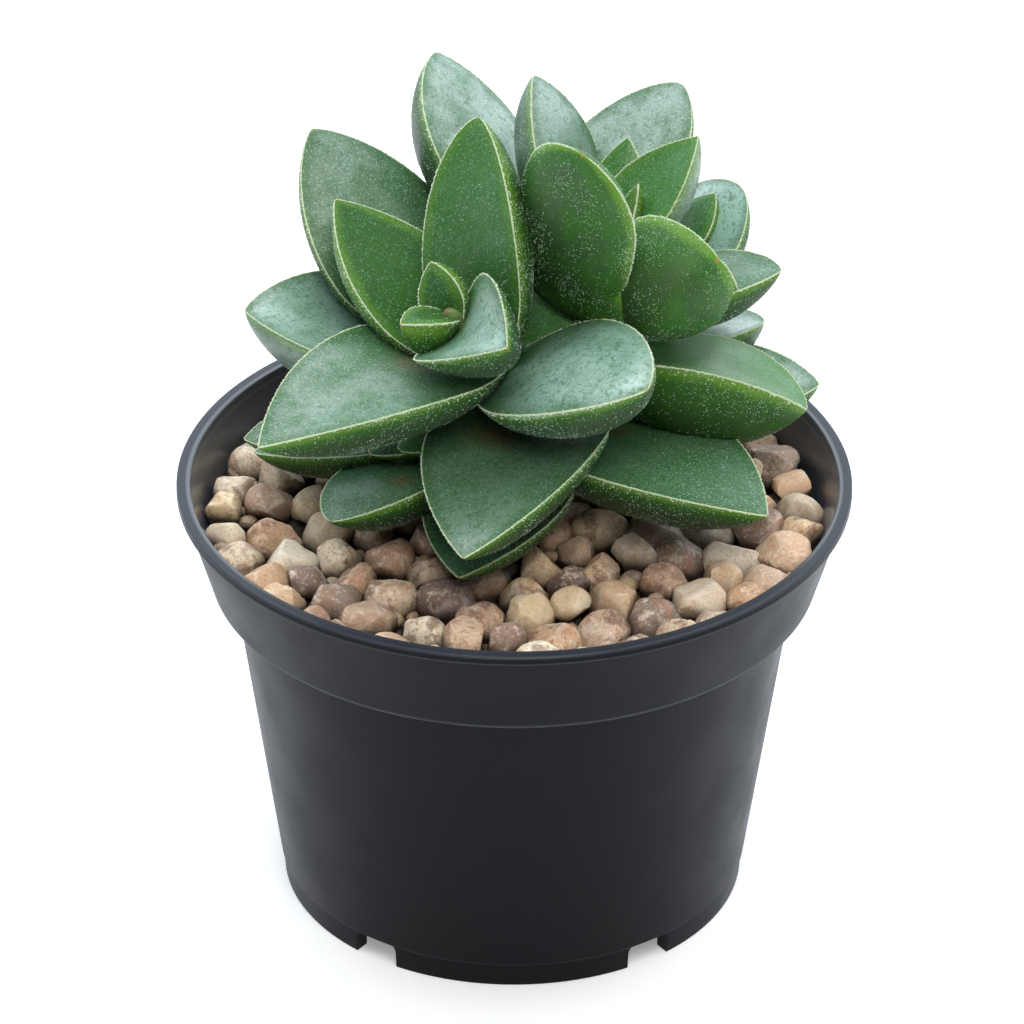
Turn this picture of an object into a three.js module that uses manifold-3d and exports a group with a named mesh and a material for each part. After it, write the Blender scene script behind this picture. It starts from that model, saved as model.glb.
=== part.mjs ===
// A potted springtime crassula: a clump of four leafy shoots in a round nursery pot,
// with potting mix and a top dressing of gravel.
// Millimetres, +Z up, origin at the middle of the pot's foot. -Y is the front.

import * as THREE from "three";
import Module from "manifold-3d";
import { mergeVertices } from "three/addons/utils/BufferGeometryUtils.js";

const wasm = await Module();
wasm.setup();

// Pot
const RIM_RADIUS = 45;
const POT_HEIGHT = 60.5;
const LIP_WIDTH = 1.8;
const LIP_HEIGHT = 1.2;
const LIP_OVERHANG = 0.7;
const LIP_BEVEL = 0.25;
const COLLAR_BOTTOM_Z = 46.9;
const COLLAR_BOTTOM_RADIUS = 40.7;
const BODY_TOP_RADIUS = 37.8;
const BODY_BOTTOM_RADIUS = 31.6;
const WALL = 1.4;
const LEDGE_FALL = 0.6;
const FLOOR = 1.5;
const FOOT_HEIGHT = 3.5;
const FOOT_RADIUS = 31.1;
const FOOT_WIDTH = 2.2;
const FOOT_STEP = 0.2;
const POT_SIDES = 40;
const NOTCH_COUNT = 5;
const NOTCH_WIDTH = 6.6;
const NOTCH_CORNER = 1.2;
const NOTCH_REACH = 6;
const DRAIN_RADIUS = 3;
const DRAIN_CIRCLE = 21;
const DRAIN_SIDES = 10;
// How far a cutting shape runs past the face that it cuts
const PAST = 1;

// Fill
const GAP = 0.3;
const WELD = 1e-3;
const SLIVER_AREA = 1e-7;
const MIX_TOP_Z = 50;
const BED_Z = 54.4;
const PEBBLE_TOP_Z = 57;
const PEBBLE_TOP_RANGE = 1.4;
const PEBBLE_SIZE = [2.7, 1.3];
const PEBBLE_RINGS = [39, 32.6, 26.2, 19.8, 13.4, 7];
const PEBBLE_SPACING = 6.5;
const PEBBLE_SCATTER = 2.6;
// Each pebble is a chipped round one. Its corners move by the chip, and its length, breadth and
// height are shares of its size, each given as [least, range].
const PEBBLE_CHIP = [0.9, 0.2];
const PEBBLE_LENGTH = 1.05;
const PEBBLE_BREADTH = [0.85, 0.15];
const PEBBLE_HEIGHT = [0.7, 0.2];
const PEBBLE_TILT = 0.5;
const PEBBLE_WALL_CLEAR = 0.2;
const FIRST_CHIP_DRAW = 20;
const SETTLE_ROUNDS = 30;
const SETTLE_CONTACT = 0.94;

// Stems: each shoot is a curve of rings, given as x, y, z and radius. They join in the crown.
const STEM_SIDES = 10;
const STEMS = {
  front: [[0, 2, 42, 4], [0, 2, 56, 4.4], [0, 0.5, 67, 4.2], [-3, -3, 78, 3.6], [-6, -6, 84.5, 2.8],
    [-8, -9.6, 90.5, 1.5], [-8.4, -10.2, 92, 0.7]],
  right: [[7, 5, 42, 3.6], [8, 5, 56, 4.2], [11, 4.5, 70, 4], [12.5, 6.5, 80, 3.4], [13.5, 8.5, 87, 2.4],
    [14, 9.2, 91.5, 1.2], [14.1, 9.4, 92.6, 0.6]],
  left: [[-3, 9, 42, 3.6], [-3, 9, 56, 4.2], [-5, 8.5, 68, 4.2], [-4.5, 9.5, 78, 3.8], [0.5, 14, 86.5, 3],
    [3.2, 16, 91, 1.5], [3.5, 16.4, 92.4, 0.7]],
  rear: [[10, 11, 42, 3.4], [12, 12, 56, 4], [15.5, 14, 66, 3.8], [18, 17.5, 78, 3.2], [20.2, 18.2, 84.5, 2],
    [20.6, 18.4, 86, 0.9]],
  crown: [[4, 6.5, 41, 5], [4, 6.5, 45, 9], [4, 6.5, 51, 7.5]],
};

// Leaves: where the leaf leaves its shoot, which way it points, and its own sizes.
// azimuth is the compass angle from +X, rise the angle above level, roll the twist about
// the leaf's axis, bend the arch from root to tip, cup the slope of the margins, blunt the
// roundness of the tip, widest the place of the greatest width, root the width at the root
// as a share of the greatest and dome the rise of the upper face. All angles in degrees.
const LEAF_FIELDS = [
  "name", "x", "y", "z", "azimuth", "rise", "roll", "length", "width", "thick",
  "bend", "cup", "blunt", "widest", "root", "dome",
];
const LEAF_ROWS = [
  ["front_leaf_01", -8, -9.5, 88.5, 122, 53, -60, 9.5, 7, 4.5, 6, 15, 0.87, 0.41, 0.45, 1],
  ["front_leaf_02", -8, -10, 90.5, 209, 10, 7, 8, 7, 4.5, -4, 14, 0.93, 0.41, 0.45, 1],
  ["front_leaf_03", -7.5, -9, 87.5, 293, 23, 40, 18, 14.5, 5.5, -16, 30, 0.85, 0.38, 0.45, 1.5],
  ["front_leaf_04", -3, -4.5, 81, 100, 70, -47, 32.5, 16, 7, -12, 19, 0.65, 0.35, 0.47, 2],
  ["front_leaf_05", -4.5, -5.5, 81, 139, 31, -2, 30, 18, 6, 9, 8, 0.9, 0.38, 0.46, 1],
  ["front_leaf_06", -1.5, -3, 78, 309, 21, 19, 31.5, 20.5, 7, -6, 11, 0.68, 0.41, 0.5, 3.5],
  ["front_leaf_07", -4.5, -3.5, 80.5, 221, 2, 0, 38, 22.5, 6.5, -18, 15, 0.98, 0.33, 0.48, 2],
  ["front_leaf_08", 4.5, -0.5, 71, 252, -3, 6, 36, 24, 6, -15, 15, 0.88, 0.31, 0.45, 2],
  ["front_leaf_09", 2, 1.5, 65, 252, -7, 6, 30, 20, 5.5, -8, 4, 0.92, 0.4, 0.45, 1],
  ["front_leaf_10", 4, 2, 66, 322, 2, -4, 37, 24, 6.5, -14, 13, 0.95, 0.41, 0.45, 2.5],
  ["front_leaf_11", -8, -1, 64.5, 229, 2, 12, 24.5, 16, 5.5, -19, 6, 0.67, 0.47, 0.75, 1],
  ["front_leaf_12", 1, 0.5, 75, 55, 58, 0, 14, 13, 5, 0, 8, 0.8, 0.42, 0.5, 1],
  ["front_leaf_13", -4, 0, 68, 203, 0, 0, 16.5, 5.5, 2.5, -6, 4, 0.55, 0.55, 0.7, 1],
  ["front_leaf_14", -3.5, -0.5, 69, 210, 0, 0, 13.5, 6, 2.5, -6, 4, 0.55, 0.55, 0.7, 1],
  ["right_leaf_01", 13.5, 9, 90, 46, 66, -16, 9.5, 4, 2, -7, 12, 0.9, 0.41, 0.45, 1],
  ["right_leaf_02", 12.5, 9, 89, 30, 48, 3, 20, 12.5, 4.5, 4, 20, 1, 0.38, 0.45, 1],
  ["right_leaf_03", 12, 13, 86, 71, 59, 0, 17, 9, 4, 0, 8, 0.93, 0.41, 0.45, 1],
  ["right_leaf_08", 11.5, 0, 82.5, 278, 75, -25, 10, 7, 2, 10, 4, 0.7, 0.45, 0.7, 0.5],
  ["right_leaf_04", 7, 4, 86, 279, 69, -47, 29, 18, 5.5, -18, -1, 0.47, 0.6, 0.8, 4.5],
  ["right_leaf_05", 15.5, 8, 84.5, 316, 36, -70, 19, 17.5, 9.5, 5, 14, 0.62, 0.48, 0.44, 2],
  ["right_leaf_06", 13, 7.5, 82, 349, 21, -2, 24, 16.5, 5.5, -13, 6, 0.72, 0.44, 0.45, 1],
  ["right_leaf_07", 12.5, 4.5, 74, 347, -4, -18, 27, 22.5, 8, -18, 20, 0.73, 0.44, 0.45, 3.5],
  ["left_leaf_01", 8, 14, 88.5, 122, 62, 33, 23, 17, 5, -7, 11, 0.82, 0.42, 0.45, 2],
  ["left_leaf_02", 0.5, 15, 88, 117, 34, 24, 30, 18.5, 8, -1, 6, 0.76, 0.46, 0.45, 2],
  ["left_leaf_03", -8.5, 7.5, 78, 137, 40, -9, 33.5, 21.5, 7, 4, 3, 0.78, 0.39, 0.35, 2],
  ["left_leaf_04", 4, 13.5, 86.5, 42, 36, 2, 30, 19.5, 6, 6, 2, 0.65, 0.43, 0.45, 1],
  ["left_leaf_05", -7.5, 8, 76, 188, 15, -7, 29.5, 21.5, 8, 4, 11, 0.81, 0.45, 0.45, 1],
  ["left_leaf_06", -6, 8, 67, 201, -2, 4, 30.5, 17.5, 6, 1, 4, 0.9, 0.42, 0.45, 1],
  ["left_leaf_07", -7, 13, 61.5, 193, 2, -6, 30, 17, 5, -4, 5, 0.88, 0.43, 0.45, 1],
  ["left_leaf_08", -4, 11, 72, 140, 10, 0, 28, 19, 7, -8, 6, 0.8, 0.42, 0.45, 1],
  ["left_leaf_09", 0, 14, 75, 95, 22, 0, 28, 18, 6.5, -6, 6, 0.8, 0.42, 0.45, 1],
  ["left_leaf_10", -2, 13, 65, 118, 2, 0, 29, 19, 6.5, -8, 4, 0.85, 0.42, 0.45, 1],
  ["left_leaf_11", 4, 14, 66, 75, 3, 0, 27, 18, 6.5, -8, 4, 0.85, 0.42, 0.45, 1],
  ["left_leaf_12", 2, 15, 88, 180, 52, 0, 16, 11, 4.5, 8, 12, 0.85, 0.42, 0.45, 1],
  ["left_leaf_13", 3, 15, 90, 265, 60, 0, 9, 6, 3, 6, 12, 0.85, 0.42, 0.45, 1],
  ["rear_leaf_01", 20.5, 18, 83.5, 38, 45, -7, 11, 8.5, 3, -1, 8, 0.88, 0.44, 0.45, 1],
  ["rear_leaf_02", 20, 18, 84, 150, 55, 0, 10, 7.5, 3.5, 6, 12, 0.85, 0.42, 0.45, 1],
  ["rear_leaf_03", 17.5, 18.5, 79.5, 15, 44, 6, 18.5, 19.5, 4.5, 5, 2, 0.57, 0.43, 0.45, 1],
  ["rear_leaf_04", 17, 20, 67, 5, 18, -12, 17.5, 15, 5, -10, 10, 0.6, 0.45, 0.45, 1],
  ["rear_leaf_05", 15.5, 14, 66.5, 353, 5, 4, 25.5, 18.5, 6.5, 1, 7, 0.81, 0.43, 0.45, 1],
  ["rear_leaf_06", 16, 17, 72, 66, 20, 0, 24, 17, 6, -6, 6, 0.75, 0.42, 0.45, 1],
  ["rear_leaf_07", 16, 15, 65, 55, 2, 0, 23, 17, 6, -8, 4, 0.85, 0.42, 0.45, 1],
];
const LEAF_GAP = 0.4;
const LEAF_STEPS = 6;
const LEAF_COLUMNS = 4;
const TIP_CROWDING = 1.25;
const DOME_FLATNESS = 0.7;
const BELLY_AT_ROOT = 0.55;
const BELLY_FALL = 2.2;
const BELLY_BLUNT = 0.8;

const COLOURS = {
  pot: 0x242426,
  mix: 0x3a2c22,
  gravel: 0xa98a70,
  stem: 0x5d7a45,
  leaf: 0x4f8a5c,
};

// Solids and meshes

function solidFrom(geometry) {
  const bare = geometry.index ? geometry.toNonIndexed() : geometry.clone();
  bare.deleteAttribute("normal");
  bare.deleteAttribute("uv");
  const merged = mergeVertices(bare, WELD);
  const corners = new Uint32Array(merged.index.array);
  const solid = solidOf(merged.attributes.position.array, corners);
  return solid.volume() > 0 ? solid : solidOf(merged.attributes.position.array, corners.reverse());
}

function solidOf(positions, corners) {
  return new wasm.Manifold(new wasm.Mesh({
    numProp: 3,
    vertProperties: new Float32Array(positions),
    triVerts: corners,
  }));
}

// Cutting leaves slivers. Welding closes them and the loose scraps are dropped.
function biggestPiece(solid) {
  const pieces = solidFrom(geometryFrom(solid)).decompose();
  pieces.sort((a, b) => b.volume() - a.volume());
  return pieces[0];
}

function geometryFrom(solid) {
  const found = solid.getMesh();
  const geometry = new THREE.BufferGeometry();
  geometry.setAttribute("position", new THREE.BufferAttribute(found.vertProperties.slice(), 3));
  geometry.setIndex(new THREE.BufferAttribute(found.triVerts.slice(), 1));
  return geometry;
}

function meshFrom(name, solid, colour, roughness) {
  const geometry = geometryFrom(solid);
  geometry.computeVertexNormals();
  const material = new THREE.MeshStandardMaterial({ color: colour, roughness, metalness: 0 });
  const mesh = new THREE.Mesh(geometry, material);
  mesh.name = name;
  return mesh;
}

// A turned solid from a closed profile of [radius, z] points
function turned(profile, sides = POT_SIDES) {
  const points = profile.map(([radius, z]) => new THREE.Vector2(radius, z));
  const geometry = new THREE.LatheGeometry(points, sides);
  geometry.rotateX(Math.PI / 2);
  return solidFrom(geometry);
}

// A closed solid through rings of points, with a flat cap or a point at each end
function lofted(rings) {
  const triangles = [];
  const sides = rings[0].length;
  for (let i = 0; i + 1 < rings.length; i += 1) {
    for (let j = 0; j < sides; j += 1) {
      const k = (j + 1) % sides;
      const [a, b, c, d] = [rings[i][j], rings[i][k], rings[i + 1][k], rings[i + 1][j]];
      triangles.push([a, b, c], [a, c, d]);
    }
  }
  const first = rings[0];
  const last = rings[rings.length - 1];
  for (let j = 1; j + 1 < sides; j += 1) {
    triangles.push([first[0], first[j + 1], first[j]]);
    triangles.push([last[0], last[j], last[j + 1]]);
  }
  const solidTriangles = triangles.filter(([a, b, c]) => new THREE.Triangle(a, b, c).getArea() > SLIVER_AREA);
  const geometry = new THREE.BufferGeometry().setFromPoints(solidTriangles.flat());
  return solidFrom(geometry);
}

// Pot

function collarInner(z) {
  const share = (z - COLLAR_BOTTOM_Z) / (POT_HEIGHT - COLLAR_BOTTOM_Z);
  return THREE.MathUtils.lerp(COLLAR_BOTTOM_RADIUS - WALL, RIM_RADIUS - LIP_WIDTH, share);
}

function cavityProfile(clear, top) {
  const floor = FOOT_HEIGHT + FLOOR;
  const ledge = COLLAR_BOTTOM_Z + WALL;
  return [
    [0, floor + clear],
    [BODY_BOTTOM_RADIUS - WALL - clear, floor + clear],
    [BODY_TOP_RADIUS - WALL - clear, ledge - LEDGE_FALL + clear],
    [collarInner(ledge) - clear, ledge + clear],
    [collarInner(top) - clear, top],
    [0, top],
  ];
}

function potShell() {
  const lipBottom = POT_HEIGHT - LIP_HEIGHT;
  const outside = turned([
    [0, 0],
    [FOOT_RADIUS, 0],
    [FOOT_RADIUS + FOOT_STEP, FOOT_HEIGHT - FOOT_STEP],
    [BODY_BOTTOM_RADIUS, FOOT_HEIGHT + FOOT_STEP],
    [BODY_TOP_RADIUS, COLLAR_BOTTOM_Z],
    [COLLAR_BOTTOM_RADIUS, COLLAR_BOTTOM_Z],
    [RIM_RADIUS - LIP_OVERHANG, lipBottom],
    [RIM_RADIUS, lipBottom],
    [RIM_RADIUS, POT_HEIGHT - LIP_BEVEL],
    [RIM_RADIUS - LIP_BEVEL, POT_HEIGHT],
    [0, POT_HEIGHT],
  ]);
  const inside = turned(cavityProfile(0, POT_HEIGHT + PAST));
  const underside = turned([
    [0, -PAST],
    [FOOT_RADIUS - FOOT_WIDTH, -PAST],
    [FOOT_RADIUS - FOOT_WIDTH, FOOT_HEIGHT],
    [0, FOOT_HEIGHT],
  ]);
  return outside.subtract(inside).subtract(underside);
}

function footNotch(angle) {
  const half = NOTCH_WIDTH / 2;
  const corner = NOTCH_CORNER;
  const shape = new THREE.Shape();
  shape.moveTo(-half, -PAST);
  shape.lineTo(half, -PAST);
  shape.lineTo(half, FOOT_HEIGHT - corner);
  shape.absarc(half - corner, FOOT_HEIGHT - corner, corner, 0, Math.PI / 2, false);
  shape.absarc(-half + corner, FOOT_HEIGHT - corner, corner, Math.PI / 2, Math.PI, false);
  shape.lineTo(-half, -PAST);
  const depth = NOTCH_REACH + PAST;
  const geometry = new THREE.ExtrudeGeometry(shape, { depth, bevelEnabled: false, curveSegments: 2 });
  geometry.rotateX(Math.PI / 2);
  geometry.translate(0, -FOOT_RADIUS + NOTCH_REACH, 0);
  geometry.rotateZ(angle);
  return solidFrom(geometry);
}

function drainHole(angle) {
  const geometry = new THREE.CylinderGeometry(DRAIN_RADIUS, DRAIN_RADIUS, FLOOR + 2 * PAST, DRAIN_SIDES);
  geometry.rotateX(Math.PI / 2);
  geometry.translate(0, -DRAIN_CIRCLE, FOOT_HEIGHT + FLOOR / 2);
  geometry.rotateZ(angle);
  return solidFrom(geometry);
}

function makePot() {
  let pot = potShell();
  for (let i = 0; i < NOTCH_COUNT; i += 1) {
    const angle = ((i + 0.5) * 2 * Math.PI) / NOTCH_COUNT;
    pot = pot.subtract(footNotch(angle)).subtract(drainHole(angle));
  }
  return pot;
}

// Stems

function makeStems(grow) {
  let stems = null;
  for (const rows of Object.values(STEMS)) {
    const rings = rows.map(([x, y, z, radius], i) => {
      const lift = i === 0 ? -grow : i === rows.length - 1 ? grow : 0;
      return ringPoints(x, y, z + lift, radius + grow);
    });
    const stem = lofted(rings);
    stems = stems ? stems.add(stem) : stem;
  }
  return stems;
}

function ringPoints(x, y, z, radius) {
  const points = [];
  for (let j = 0; j < STEM_SIDES; j += 1) {
    const angle = (j * 2 * Math.PI) / STEM_SIDES;
    points.push(new THREE.Vector3(x + radius * Math.cos(angle), y + radius * Math.sin(angle), z));
  }
  return points;
}

// Leaves

const radians = (degrees) => (degrees * Math.PI) / 180;

// The leaf's own axes: along its length, across to its right edge, and out of its upper face
function leafAxes(leaf) {
  const [azimuth, rise, roll] = [leaf.azimuth, leaf.rise, leaf.roll].map(radians);
  const along = new THREE.Vector3(
    Math.cos(rise) * Math.cos(azimuth),
    Math.cos(rise) * Math.sin(azimuth),
    Math.sin(rise),
  );
  const level = new THREE.Vector3(Math.sin(azimuth), -Math.cos(azimuth), 0);
  const above = new THREE.Vector3().crossVectors(level, along);
  const out = above.clone().multiplyScalar(Math.cos(roll)).addScaledVector(level, Math.sin(roll));
  const across = level.clone().multiplyScalar(Math.cos(roll)).addScaledVector(above, -Math.sin(roll));
  return { along, across, out };
}

function halfWidth(leaf, t) {
  if (t < leaf.widest) {
    return (leaf.width / 2) * (leaf.root + (1 - leaf.root) * Math.sin((Math.PI / 2) * (t / leaf.widest)));
  }
  const share = (t - leaf.widest) / (1 - leaf.widest);
  return (leaf.width / 2) * Math.max(0, 1 - share ** 2) ** leaf.blunt;
}

function bellyDepth(leaf, t) {
  if (t < 0.5) {
    return leaf.thick * (BELLY_AT_ROOT + (1 - BELLY_AT_ROOT) * Math.sin(Math.PI * t));
  }
  return leaf.thick * Math.max(0, 1 - (2 * t - 1) ** BELLY_FALL) ** BELLY_BLUNT;
}

// A point of the leaf's skin: t from root to tip, v from left edge (-1) to right edge (1)
function leafPoint(leaf, axes, t, v, isUpper) {
  const bend = radians(leaf.bend);
  const turn = bend * (t - 0.5);
  const straight = Math.abs(bend) < 1e-4;
  const reach = straight ? leaf.length * t : (leaf.length / bend) * (Math.sin(turn) + Math.sin(bend / 2));
  const lift = straight ? 0 : (-leaf.length / bend) * (Math.cos(turn) - Math.cos(bend / 2));
  const half = halfWidth(leaf, t);
  const inside = 1 - v * v;
  const upper = leaf.dome * Math.sin(Math.PI * t) ** DOME_FLATNESS * inside;
  const lower = -bellyDepth(leaf, t) * Math.sqrt(Math.max(0, inside));
  const face = (isUpper ? upper : lower) + Math.tan(radians(leaf.cup)) * half * v * v;
  return new THREE.Vector3(leaf.x, leaf.y, leaf.z)
    .addScaledVector(axes.along, reach - Math.sin(turn) * face)
    .addScaledVector(axes.across, half * v)
    .addScaledVector(axes.out, lift + Math.cos(turn) * face);
}

function leafSolid(leaf) {
  const axes = leafAxes(leaf);
  const rings = [];
  for (let i = 0; i <= LEAF_STEPS; i += 1) {
    const t = 1 - (1 - i / LEAF_STEPS) ** TIP_CROWDING;
    const ring = [];
    for (let j = 0; j < LEAF_COLUMNS; j += 1) {
      const v = Math.sin((Math.PI / 2) * (1 - (2 * j) / LEAF_COLUMNS));
      ring.push(leafPoint(leaf, axes, t, v, true));
    }
    for (let j = 0; j < LEAF_COLUMNS; j += 1) {
      const v = Math.sin((Math.PI / 2) * ((2 * j) / LEAF_COLUMNS - 1));
      ring.push(leafPoint(leaf, axes, t, v, false));
    }
    rings.push(ring);
  }
  return lofted(rings);
}

// The same solid a little larger on every side, to cut room for it in its neighbours
function swollen(solid, clear) {
  const geometry = geometryFrom(solid);
  geometry.computeVertexNormals();
  const { position, normal } = geometry.attributes;
  for (let k = 0; k < position.count; k += 1) {
    position.setXYZ(
      k,
      position.getX(k) + normal.getX(k) * clear,
      position.getY(k) + normal.getY(k) * clear,
      position.getZ(k) + normal.getZ(k) * clear,
    );
  }
  return solidFrom(geometry).add(solid);
}

function readLeaves() {
  return LEAF_ROWS.map((row) => Object.fromEntries(LEAF_FIELDS.map((field, i) => [field, row[i]])));
}

function boxesMeet(a, b) {
  const [p, q] = [a.boundingBox(), b.boundingBox()];
  return [0, 1, 2].every((i) => p.min[i] < q.max[i] && q.min[i] < p.max[i]);
}

// Leaves nearer the eye come first and stay whole. Later ones give way to them.
function makeLeaves(stemRoom) {
  const made = [];
  for (const leaf of readLeaves()) {
    const whole = leafSolid(leaf);
    let solid = whole.subtract(stemRoom);
    for (const other of made) {
      if (boxesMeet(solid, other.room)) {
        solid = solid.subtract(other.room);
      }
    }
    made.push({ name: leaf.name, solid: biggestPiece(solid), room: swollen(whole, LEAF_GAP) });
  }
  return made;
}

// Gravel

// A repeatable draw between 0 and 1 for pebble i and purpose k
function draw(i, k) {
  const value = Math.sin(i * 12.9898 + k * 78.233) * 43758.5453;
  return value - Math.floor(value);
}

function drawFrom([least, range], i, k) {
  return least + range * draw(i, k);
}

function scatterPebbles() {
  const pebbles = [];
  for (const ring of PEBBLE_RINGS) {
    const count = Math.floor((2 * Math.PI * ring) / PEBBLE_SPACING);
    for (let j = 0; j < count; j += 1) {
      const i = pebbles.length + 1;
      const angle = (2 * Math.PI * (j + 0.5 * draw(i, 1))) / count;
      const radius = ring + PEBBLE_SCATTER * (draw(i, 2) - 0.5);
      const size = drawFrom(PEBBLE_SIZE, i, 3);
      pebbles.push({ i, x: radius * Math.cos(angle), y: radius * Math.sin(angle), size });
    }
  }
  return pebbles;
}

function settlePebbles(pebbles) {
  const wall = collarInner(BED_Z) - PEBBLE_WALL_CLEAR;
  for (let round = 0; round < SETTLE_ROUNDS; round += 1) {
    for (const a of pebbles) {
      for (const b of pebbles) {
        const apart = Math.hypot(b.x - a.x, b.y - a.y);
        const reach = SETTLE_CONTACT * (a.size + b.size);
        if (b.i > a.i && apart < reach) {
          const push = (reach - apart) / 2 / apart;
          const [dx, dy] = [(b.x - a.x) * push, (b.y - a.y) * push];
          a.x -= dx;
          a.y -= dy;
          b.x += dx;
          b.y += dy;
        }
      }
    }
    for (const pebble of pebbles) {
      const out = Math.hypot(pebble.x, pebble.y);
      const limit = wall - pebble.size;
      if (out > limit) {
        pebble.x *= limit / out;
        pebble.y *= limit / out;
      }
    }
  }
  return pebbles;
}

function pebbleSolid({ i, x, y, size }) {
  const geometry = mergeVertices(bareIcosahedron(), WELD);
  const place = geometry.attributes.position;
  for (let k = 0; k < place.count; k += 1) {
    const chip = drawFrom(PEBBLE_CHIP, i, FIRST_CHIP_DRAW + k);
    place.setXYZ(k, place.getX(k) * chip, place.getY(k) * chip, place.getZ(k) * chip);
  }
  const height = size * drawFrom(PEBBLE_HEIGHT, i, 4);
  geometry.scale(size * PEBBLE_LENGTH, size * drawFrom(PEBBLE_BREADTH, i, 5), height);
  geometry.rotateX(PEBBLE_TILT * (draw(i, 6) - 0.5));
  geometry.rotateY(PEBBLE_TILT * (draw(i, 7) - 0.5));
  geometry.rotateZ(2 * Math.PI * draw(i, 8));
  const top = PEBBLE_TOP_Z + PEBBLE_TOP_RANGE * (draw(i, 9) - 0.5);
  geometry.translate(x, y, top - height);
  return solidFrom(geometry);
}

function bareIcosahedron() {
  const geometry = new THREE.IcosahedronGeometry(1, 0);
  geometry.deleteAttribute("normal");
  geometry.deleteAttribute("uv");
  return geometry;
}

function makeGravel(stemRoom, leaves) {
  const bottom = MIX_TOP_Z + GAP;
  const room = turned([
    [0, bottom],
    [collarInner(bottom) - GAP, bottom],
    [collarInner(POT_HEIGHT) - GAP, POT_HEIGHT],
    [0, POT_HEIGHT],
  ]);
  let gravel = turned([
    [0, bottom - GAP],
    [RIM_RADIUS, bottom - GAP],
    [RIM_RADIUS, BED_Z],
    [0, BED_Z],
  ]);
  for (const pebble of settlePebbles(scatterPebbles())) {
    gravel = gravel.add(pebbleSolid(pebble));
  }
  gravel = gravel.intersect(room).subtract(stemRoom);
  for (const leaf of leaves) {
    if (boxesMeet(gravel, leaf.room)) {
      gravel = gravel.subtract(leaf.room);
    }
  }
  return biggestPiece(gravel);
}

function makeMix(stemRoom) {
  return turned(cavityProfile(GAP, MIX_TOP_Z)).subtract(stemRoom);
}

// Assembly

const crassula = new THREE.Group();
const stemRoom = makeStems(GAP);
const leaves = makeLeaves(stemRoom);
crassula.add(meshFrom("pot", makePot(), COLOURS.pot, 0.5));
crassula.add(meshFrom("potting_mix", makeMix(stemRoom), COLOURS.mix, 1));
crassula.add(meshFrom("gravel", makeGravel(stemRoom, leaves), COLOURS.gravel, 0.8));
crassula.add(meshFrom("stems", makeStems(0), COLOURS.stem, 0.6));
for (const leaf of leaves) {
  crassula.add(meshFrom(leaf.name, leaf.solid, COLOURS.leaf, 0.5));
}

export default crassula;
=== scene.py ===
"""Looks of a potted springtime crassula: a succulent with four leafy shoots in a nursery pot.

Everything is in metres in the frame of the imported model, with +Z up and the foot of the pot at z = 0.
Shapes are worked out in millimetres, as the model's own sizes are, and scaled by MM when meshed.
"""

import math

import bpy
import numpy as np
from mathutils import Matrix, Vector


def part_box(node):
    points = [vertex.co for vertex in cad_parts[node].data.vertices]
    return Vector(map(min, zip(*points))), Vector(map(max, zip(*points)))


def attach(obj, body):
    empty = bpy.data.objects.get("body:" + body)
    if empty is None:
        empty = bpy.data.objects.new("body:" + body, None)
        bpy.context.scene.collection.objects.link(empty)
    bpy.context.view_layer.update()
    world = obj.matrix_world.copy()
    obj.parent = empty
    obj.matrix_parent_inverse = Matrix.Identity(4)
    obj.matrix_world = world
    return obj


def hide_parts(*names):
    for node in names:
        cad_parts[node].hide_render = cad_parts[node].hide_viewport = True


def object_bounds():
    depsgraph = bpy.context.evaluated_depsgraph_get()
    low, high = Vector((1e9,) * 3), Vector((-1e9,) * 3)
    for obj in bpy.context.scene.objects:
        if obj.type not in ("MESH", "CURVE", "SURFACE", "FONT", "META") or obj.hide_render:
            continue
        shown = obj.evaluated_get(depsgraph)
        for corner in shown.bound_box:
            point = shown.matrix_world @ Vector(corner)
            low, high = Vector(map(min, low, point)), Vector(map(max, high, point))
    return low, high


bl_info = {
    "name": "Potted springtime crassula",
    "version": (1, 0, 0),
    "blender": (4, 5, 0),
    "location": "View3D > Sidebar > Crassula",
    "description": "Makes the pot, the potting mix, the gravel and the leafy shoots of a potted crassula",
    "category": "Add Mesh",
}

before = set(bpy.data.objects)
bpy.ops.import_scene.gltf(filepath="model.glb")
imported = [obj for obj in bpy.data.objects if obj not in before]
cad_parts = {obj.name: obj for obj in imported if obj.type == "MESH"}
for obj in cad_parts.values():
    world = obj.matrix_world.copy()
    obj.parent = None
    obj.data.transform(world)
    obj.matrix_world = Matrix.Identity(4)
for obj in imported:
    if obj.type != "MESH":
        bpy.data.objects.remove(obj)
CAD_BOX = [list(corner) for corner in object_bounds()]

MM = 0.001
RIM_RADIUS = CAD_BOX[1][0] / MM
POT_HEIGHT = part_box("pot")[1][2] / MM
MIX_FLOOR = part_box("potting_mix")[0][2] / MM


# Settings

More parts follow.
